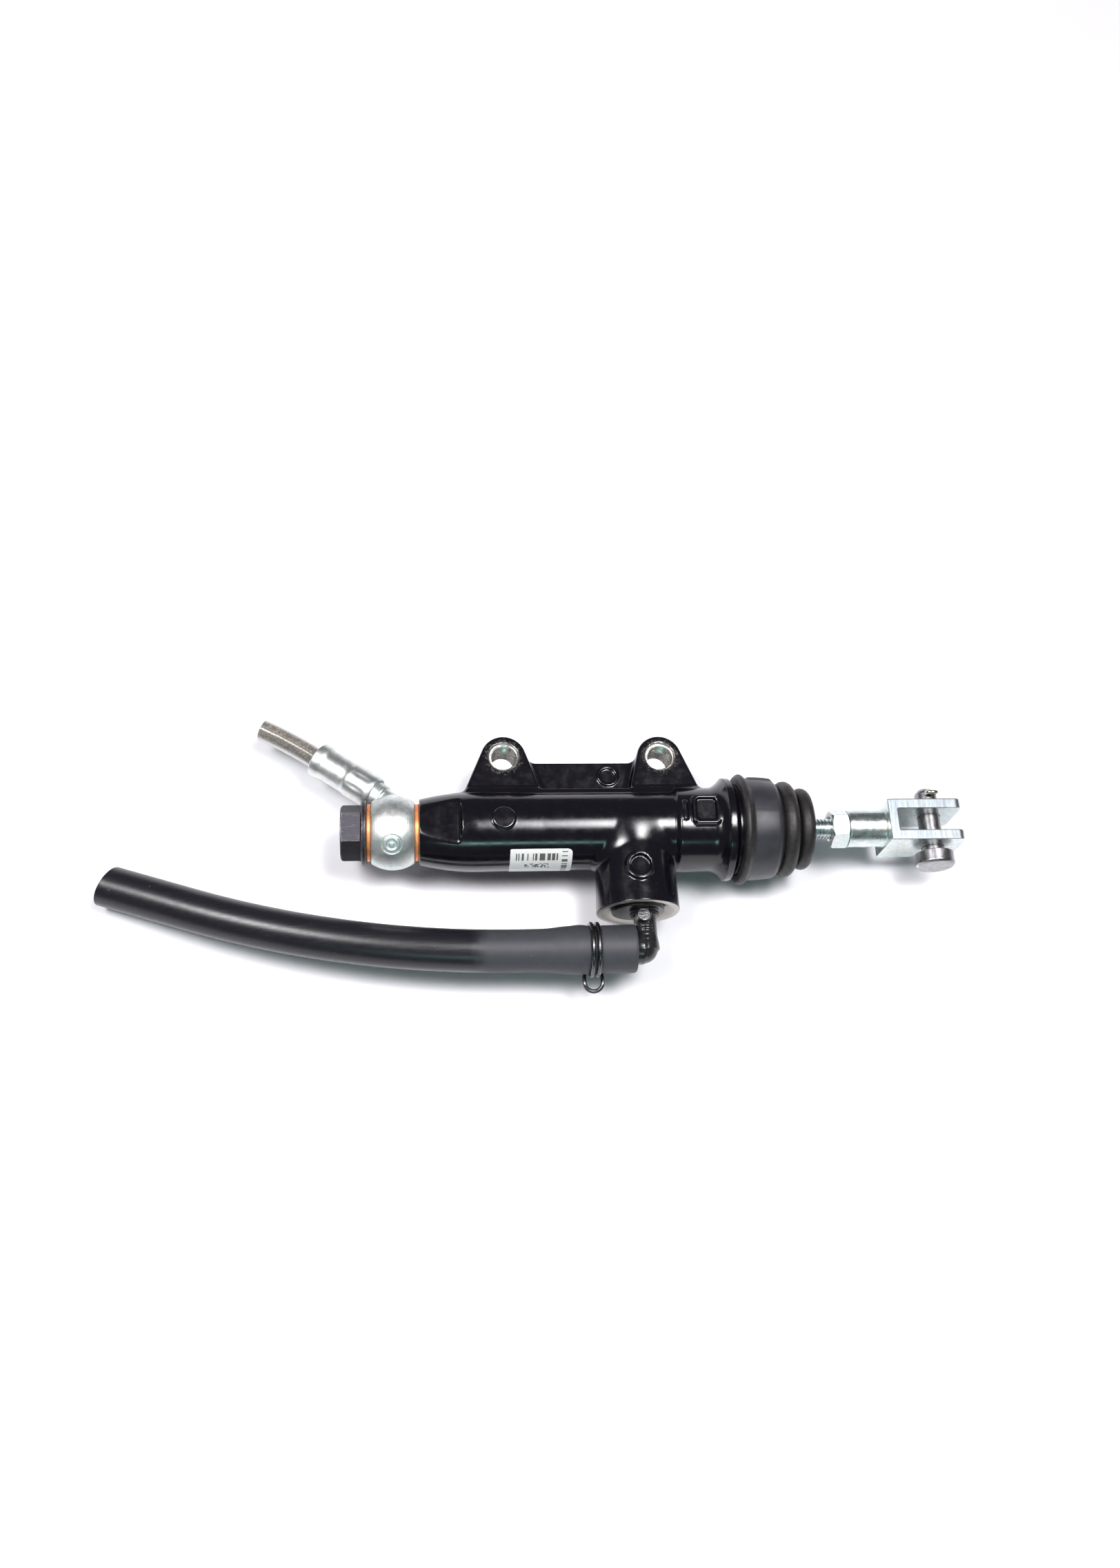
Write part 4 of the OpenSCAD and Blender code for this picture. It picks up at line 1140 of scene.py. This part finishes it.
def hose_clamp(material):
    """Spring wire clamp: two rings whose far ends flare out under the hose into a grip loop."""
    lean = radians(25)
    outward = np.array([0, -cos(lean), -sin(lean)])
    upward = np.array([0, -sin(lean), cos(lean)])
    centre = np.array([CLAMP_X, ARM_Y, 0])
    loop_half, loop_mid, flare_start, flare_end = 2.6, 9.1, 312, 352

    def at(x, radius, degrees):
        a = radians(degrees)
        return centre + [x, 0, 0] + radius * (cos(a) * outward + sin(a) * upward)

    half = [at(0.85, CLAMP_RING_R, a) for a in np.linspace(-2, flare_start, 120)]
    for t in np.linspace(0, 1, 16)[1:]:
        ease = t * t * (3 - 2 * t)
        angle = flare_start + (flare_end - flare_start) * t
        half.append(at(0.85 + (loop_half - 0.85) * ease, CLAMP_RING_R + 0.9 * t ** 3, angle))
    for a in np.radians(np.linspace(0, 90, 14)):
        half.append(centre + [loop_half * cos(a), 0, 0] + (loop_mid + loop_half * sin(a)) * outward)
    mirror = [2 * centre * [1, 0, 0] + p * [-1, 1, 1] for p in half[-2::-1]]
    swept("hose_clamp_wire", smooth_path(half + mirror), CLAMP_WIRE_R, "elbow", "hose_clamp",
          material, 12)


def smooth_path(path, rounds=6):
    """Evens out the corners where two stretches of a path meet."""
    path = np.array(path, float)
    for _ in range(rounds):
        path[1:-1] = 0.25 * path[:-2] + 0.5 * path[1:-1] + 0.25 * path[2:]
    return path


# ---------- inside the bore ----------


def return_spring(material):
    lo, hi = span("return_spring")
    wire_r, mean_r, turns = 0.6, 4.4, 8.5
    end_share, end_rise = 0.09, 0.7
    t = np.linspace(0, 1, 420)
    first = np.clip(t / end_share, 0, 1)
    middle = np.clip((t - end_share) / (1 - 2 * end_share), 0, 1)
    last = np.clip((t - 1 + end_share) / end_share, 0, 1)
    x = lo[0] + wire_r + end_rise * (first + last)
    x = x + (hi[0] - lo[0] - 2 * wire_r - 2 * end_rise) * middle
    angle = 2 * pi * turns * t
    path = np.stack([x, mean_r * np.cos(angle), mean_r * np.sin(angle)], axis=1)
    piece = swept("return_spring_coil", path, wire_r, "cylinder", "return_spring",
                  material, 10)
    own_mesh(piece)


def cup(name, node, outline, material):
    turned(name, rounded(outline), "piston", node, material, 72)


def seals(material):
    x = span("primary_cup")[0][0]
    cup("primary_cup_seal", "primary_cup", [
        (x, 5.75, 0.15), (x, 6.43, 0.15), (x + 1.0, 6.43, 0.4), (x + 3.8, 6.0, 0.2), (x + 3.8, 3.27, 0.2),
        (x, 3.27, 0.2), (x, 4.4, 0.2), (x + 1.8, 4.6, 0.5), (x + 1.8, 5.4, 0.4),
    ], material)
    x = span("secondary_cup")[0][0]
    cup("secondary_cup_seal", "secondary_cup", [
        (x, 3.87, 0.2), (x, 6.1, 0.2), (x + 0.6, 6.43, 0.2), (x + 1.2, 6.43, 0.4), (x + 3.6, 5.9, 0.2),
        (x + 3.6, 3.87, 0.2),
    ], material)


# ---------- dust boot ----------


def bellows_outline():
    """Outer outline, then the inner one back, of the boot's bead, collar and two folds."""
    bead_r, bead_x = span("dust_boot")[1][1], 44.7
    outer = [(43.55, 13.05, 0.1), (43.6, 15.2, 0.5), (bead_x, bead_r - 0.02, 0.9), (45.85, 15.2, 0.7),
             (46.5, 14.62, 0.5), (50.6, 14.5, 3.0), (54.1, 14.1, 0.9), (55.3, 12.6, 0.5)]
    outer += bulge(57.8, 13.8, 2.2) + [(60.35, 10.9, 0.5)] + bulge(62.8, 11.8, 2.1)
    inner = [(64.75, 9.3, 0.1), (64.2, 9.3, 0.3), (62.9, 10.4, 0.8), (60.6, 9.7, 0.5), (59.2, 12.1, 0.6),
             (57.8, 12.5, 0.6), (56.4, 12.1, 0.6), (54.4, 11.4, 0.4), (51.95, 11.4, 0.2), (51.95, 13.05, 0.1)]
    return rounded(outer + inner)


def nose_outline():
    """Outline of the boot's end wall and of the lip round the push rod."""
    end_x = span("dust_boot")[1][0]
    return rounded([(64.85, 9.9, 0.1), (65.3, 7.2, 1.2), (65.9, 5.0, 0.5), (end_x, 4.4, 0.4),
                    (end_x, 3.12, 0.2), (65.5, 3.12, 0.2), (65.2, 4.8, 0.4), (64.85, 7.2, 0.5),
                    (64.5, 9.9, 0.1)])


def dust_boot(material):
    """The boot, with its moulded tab on top, made as two pieces: the bellows with its folds, and the nose
    round the push rod.
    """
    def relief(x, r, angle):
        off = np.abs((angle + pi) % (2 * pi) - pi - radians(12))
        tab = np.clip((radians(20) - off) / radians(3), 0, 1)
        tab = tab * np.clip((x - 46.8) / 0.8, 0, 1) * np.clip((54.6 - x) / 0.9, 0, 1)
        seam = sum(np.exp(-((angle - side * pi / 2) / 0.02) ** 2) for side in (1, 3))
        return np.where(r > 13.0, r + 0.55 * tab + 0.07 * seam, r)

    bellows = turned("dust_boot_bellows", dense(bellows_outline(), 0.6), None, "dust_boot",
                     material, 144, None, relief)
    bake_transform(bellows)
    nose = turned("dust_boot_nose", nose_outline(), None, None, material)
    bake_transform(nose)


# ---------- push rod side ----------


def push_rod(material):
    """Ball-ended rod with its M6 thread."""
    ball_r, neck_r, shank_r, root_r = 5.2, 2.4, 2.94, 2.42
    thread_x, end_x = 60.0, 87.9
    ball = np.linspace(0, pi - asin(neck_r / ball_r), 40)
    outline = [(SEAT_X - ball_r * cos(a), ball_r * sin(a)) for a in ball]
    outline += [(x, shank_r) for x in np.linspace(SEAT_X + 6.0, thread_x, 6)]
    outline += [(x, root_r) for x in np.linspace(thread_x + 0.3, end_x - 0.4, 300)]
    outline += [(end_x, 2.1), (end_x, 0.0)]
    thread = thread_relief(1.0, 0.55)

    def relief(x, r, angle):
        return np.where((x > thread_x + 0.2) & (x < end_x - 0.3), thread(x, r, angle), r)

    turned("push_rod_threaded", outline, "pushrod", "pushrod", material, 48, None, relief)


def nut_field(x, y, z):
    radial = np.hypot(y, z)
    body = fillet_max(hexagon(y, z, 10.0, radians(7)), slab(x, NUT_X, NUT_X + NUT_T), 0.2)
    bevel = (radial - 4.95 - np.minimum(x - NUT_X, NUT_X + NUT_T - x) * 1.75) * 0.5
    body = fillet_max(body, bevel, 0.15)
    mouth = (radial - 3.6 + np.minimum(x - NUT_X, NUT_X + NUT_T - x)) * 0.7
    return np.maximum(body, -np.minimum(radial - 3.02, mouth))


def clevis_field(x, y, z):
    radial = np.hypot(y, z)
    corner, shank_r = 2.2, 5.4
    shank = drum(radial, x, shank_r, CLEVIS_LO[0], FORK_X + 2, 0.35)
    past_x = np.maximum(x - (FORK_END_X - corner), 0)
    past_z = np.maximum(np.abs(z) - (FORK_HALF_Z - corner), 0)
    side = fillet_max(slab(x, FORK_X, FORK_END_X), np.abs(z) - FORK_HALF_Z, 0.35)
    side = np.maximum(side, np.hypot(past_x, past_z) - corner)
    fork = fillet_max(side, np.abs(y) - FORK_HALF_Y, 0.28)
    body = fillet_min(shank, fork, 0.25)
    slot = fillet_max(SLOT_X - x, np.abs(y) - SLOT_HALF, 0.45)
    body = fillet_max(body, -slot, 0.22)
    hole = np.hypot(x - PIN_X, z) - PIN_R - 0.07
    body = fillet_max(body, -hole, 0.15)
    return np.maximum(body, -drum(radial, x, ROD_R + 0.02, 60, SLOT_X + 1))


def pin_field(x, y, z):
    radial = np.hypot(x - PIN_X, z)
    lo, hi = span("clevis_pin")
    head_r, head_y, cross_hole_r = 5.6, -8.0, 1.05
    body = drum(radial, y, PIN_R, head_y - 1, hi[1], 0.12)
    tip = (radial - PIN_R + 1.35 + (y - hi[1])) * 0.7
    body = fillet_max(body, tip, 0.3)
    head = drum(radial, y, head_r, lo[1], head_y, 0.2)
    bevel = (radial - head_r + 0.55 - (y - lo[1])) * 0.7
    head = fillet_max(head, bevel, 0.2)
    body = fillet_min(body, head, 0.25)
    return np.maximum(body, -(np.hypot(x - PIN_X, y - SPLIT_Y) - cross_hole_r))


def split_pin(material):
    """Half-round wire doubled back on itself: an eye above the pin and two bent legs below."""
    eye_r, leg_x, tip_z, bend_z = 1.25, 0.58, -6.9, -4.2
    path = [(leg_x + 1.7, tip_z), (leg_x + 0.5, bend_z - 0.6), (leg_x, bend_z + 0.8)]
    path += [(leg_x, z) for z in np.linspace(bend_z + 1.2, PIN_R + 0.5, 8)]
    eye_z = PIN_R + 1.75
    for a in np.radians(np.linspace(-52, 232, 26)):
        path.append((1.15 * eye_r * cos(a), eye_z + eye_r * sin(a)))
    path += [(-leg_x, z) for z in np.linspace(PIN_R + 0.5, bend_z + 1.2, 8)]
    path += [(-leg_x, bend_z + 0.8), (-leg_x - 0.6, bend_z - 0.5), (-leg_x - 2.3, tip_z + 0.5)]
    fine = []
    for (x0, z0), (x1, z1) in zip(path[:-1], path[1:]):
        steps = max(2, int(hypot(x1 - x0, z1 - z0) / 0.2))
        fine += [(x0 + (x1 - x0) * t / steps, z0 + (z1 - z0) * t / steps) for t in range(steps)]
    lean = radians(12)
    points = []
    for x, z in smooth_path(fine, 8):
        above = max(0.0, z - PIN_R - 0.2)
        points.append((PIN_X + x + above * sin(lean) * 0.9, SPLIT_Y - above * 0.15, z - above * 0.25))
    swept("split_pin_wire", points, 0.58, "pin", "split_pin", material, 12)


# ---------- building ----------


def build_solids():
    """The pieces whose shape is a distance field."""
    casting_step = 0.42
    for name, field, node, step, body, slot, look in (
        ("cylinder_casting", casting, "cylinder_body", casting_step, "cylinder", "black_paint", "paint"),
        ("banjo_bolt_hex", bolt_field, "banjo_bolt", 0.2, "cylinder", "black_steel", "phosphate"),
        ("banjo_fitting_ball", fitting_field, "banjo_fitting", 0.24, "cylinder", "zinc_steel", "turned_zinc"),
        ("reservoir_elbow_moulding", elbow_field, "reservoir_elbow", 0.2, "elbow",
         "black_plastic", "plastic"),
        ("lock_nut_hex", nut_field, "lock_nut", 0.16, "pushrod", "zinc_steel", "zinc"),
        ("clevis_fork", clevis_field, "clevis", 0.2, "pushrod", "zinc_steel", "fork_zinc"),
        ("clevis_pin_steel", pin_field, "clevis_pin", 0.18, "pin", "plain_steel", "pin"),
    ):
        solid(name, field, node, step, body, LOOKS[look])


def build_turned_and_swept():
    ear_thread("ear_thread_left", -EAR_X, LOOKS["bare"])
    ear_thread("ear_thread_right", EAR_X, LOOKS["bare"])
    washers(LOOKS["copper"])
    ferrule(LOOKS["dull_zinc"])
    swept("brake_hose_clear_jacket", brake_line_path(48), 3.3, "cylinder", "brake_hose_jacket",
          LOOKS["jacket"], 64, 2.22)
    swept("brake_hose_inner_liner", brake_line_path(40), 2.2, "cylinder", "brake_hose_liner",
          LOOKS["liner"], 48, 1.75)
    brake_line_braid(LOOKS["braid"])
    label_sheet(LOOKS["label"])
    o_ring(LOOKS["seal"])
    reservoir_hose(LOOKS["hose"])
    hose_clamp(LOOKS["black_wire"])
    return_spring(LOOKS["spring"])
    seals(LOOKS["seal"])
    dust_boot(LOOKS["boot"])
    push_rod(LOOKS["zinc"])
    split_pin(LOOKS["yellow_zinc"])


def dress_cad_nodes():
    """Materials of the CAD nodes that are shown as they are."""
    for node, look in (("spring_seat", "bare"), ("cup_shim", "bare"), ("piston", "piston"),
                       ("stop_washer", "bare"), ("retaining_circlip", "black_wire"),
                       ("elbow_snap_ring", "spring")):
        piece = frame["nodes"][node]
        piece.data.materials.clear()
        piece.data.materials.append(LOOKS[look])


def build_stage():
    """A plain pale floor that the object lies on."""
    low = CAD_BOX[0][2] - 0.0001
    size, cells = 3.0, 24
    grid = np.linspace(-size, size, cells + 1)
    points = [(x, y, low) for y in grid for x in grid]
    faces = [tuple(reversed(f)) for f in grid_faces(cells + 1, cells + 1, False, False)]
    mesh = bpy.data.meshes.new("floor")
    mesh.from_pydata(points, [], faces)
    mesh.materials.append(floor_finish())
    floor = bpy.data.objects.new("floor", mesh)
    bpy.context.scene.collection.objects.link(floor)


def area_light(name, place, target, size, power, colour):
    """A rectangular lamp aimed at a target, with its long side along x, that fades towards its edges."""
    light = bpy.data.lights.new(name, "AREA")
    light.shape = "RECTANGLE"
    light.size, light.size_y = size
    light.energy = power
    light.color = colour
    light.use_nodes = True
    nodes = Nodes(light.node_tree)
    spot = nodes.parts(nodes.add("NewGeometry").outputs["Parametric"])
    fade = [nodes.ramp(nodes.calc("PINGPONG", side, 0.5), 0.0, 0.5) for side in spot[:2]]
    emission = light.node_tree.nodes["Emission"]
    nodes.put(emission.inputs["Strength"], nodes.times(nodes.times(*fade), LAMP_GAIN))
    back = (Vector(place) - Vector(target)).normalized()
    side = Vector((0, 1, 0)).cross(back).normalized() if abs(back.y) < 0.5 else Vector((1, 0, 0))
    lamp = bpy.data.objects.new(name, light)
    turn = Matrix((side, back.cross(side), back)).transposed().to_4x4()
    lamp.matrix_world = Matrix.Translation(place) @ turn
    bpy.context.scene.collection.objects.link(lamp)


def build_lights():
    """Soft studio light: two softboxes overhead, a weak cool window low on the hose side, a dim room."""
    world = bpy.data.worlds.new("room")
    bpy.context.scene.world = world
    world.use_nodes = True
    colour, strength = world.node_tree.nodes["Background"].inputs[:2]
    colour.default_value, strength.default_value = (0.95, 0.93, 1.0, 1), 0.10
    area_light("softbox_left", (-0.46, 0.0, 0.8), (-0.06, 0, 0), (0.55, 0.48), 7.5, (1.0, 0.99, 1.0))
    area_light("softbox_right", (0.21, 0.0, 0.8), (0.02, 0, 0), (0.43, 0.48), 7.0, (1.0, 0.99, 1.0))
    area_light("window", (-0.05, -0.85, 0.62), (0, -0.02, 0), (0.75, 0.2), 1.0, (0.5, 0.95, 0.88))


def build_camera():
    """Camera above the object, a little towards the reservoir side."""
    camera = bpy.data.cameras.new("camera")
    camera.lens = 33.25
    camera.clip_start, camera.clip_end = 0.01, 10
    holder = bpy.data.objects.new("camera", camera)
    right = Vector((0.99424, -0.04542, 0.09712))
    back = Vector((-0.10708, -0.37487, 0.92087)).normalized()
    right = (right - back * right.dot(back)).normalized()
    up = back.cross(right)
    matrix = Matrix((right, up, back)).transposed().to_4x4()
    matrix.translation = Vector((-50.72, -141.71 + AXIS_Y, 383.7)) * MM
    holder.matrix_world = matrix
    bpy.context.scene.collection.objects.link(holder)
    bpy.context.scene.camera = holder
    bpy.context.scene.view_settings.view_transform = "Standard"


LOOKS = {
    "paint": black_paint(),
    "bare": steel("bare_metal", (0.62, 0.60, 0.57), 0.3),
    "phosphate": phosphate(),
    "zinc": zinc("zinc_steel", (0.74, 0.77, 0.77), rough=0.24),
    "fork_zinc": zinc("fork_zinc", (0.74, 0.77, 0.77), rough=0.24, sawn_z=FORK_HALF_Z - 0.3),
    "turned_zinc": zinc("turned_zinc", (0.78, 0.80, 0.79), True, 0.35, 0.40),
    "dull_zinc": zinc("dull_zinc", (0.74, 0.75, 0.74), False, 0.3, 0.36),
    "yellow_zinc": zinc("yellow_zinc", (0.70, 0.66, 0.50), rainbow=0.35),
    "copper": copper(),
    "jacket": clear_jacket(),
    "liner": liner_plastic(),
    "braid": steel("braid", (0.46, 0.41, 0.37), 0.5, dark=0.8),
    "label": label_paper(),
    "spring": steel("spring_steel", (0.42, 0.42, 0.44), 0.35),
    "boot": boot_rubber(),
    "seal": seal_rubber(),
    "plastic": black_plastic(),
    "hose": hose_rubber(),
    "black_wire": steel("black_spring_steel", (0.045, 0.045, 0.05), 0.3),
    "pin": steel("plain_steel", (0.40, 0.39, 0.40), 0.34, (1, 6, 1)),
    "piston": steel("anodised", (0.55, 0.54, 0.50), 0.3, (1, 5, 5)),
}

build_solids()
build_turned_and_swept()
dress_cad_nodes()
build_stage()
build_lights()
build_camera()
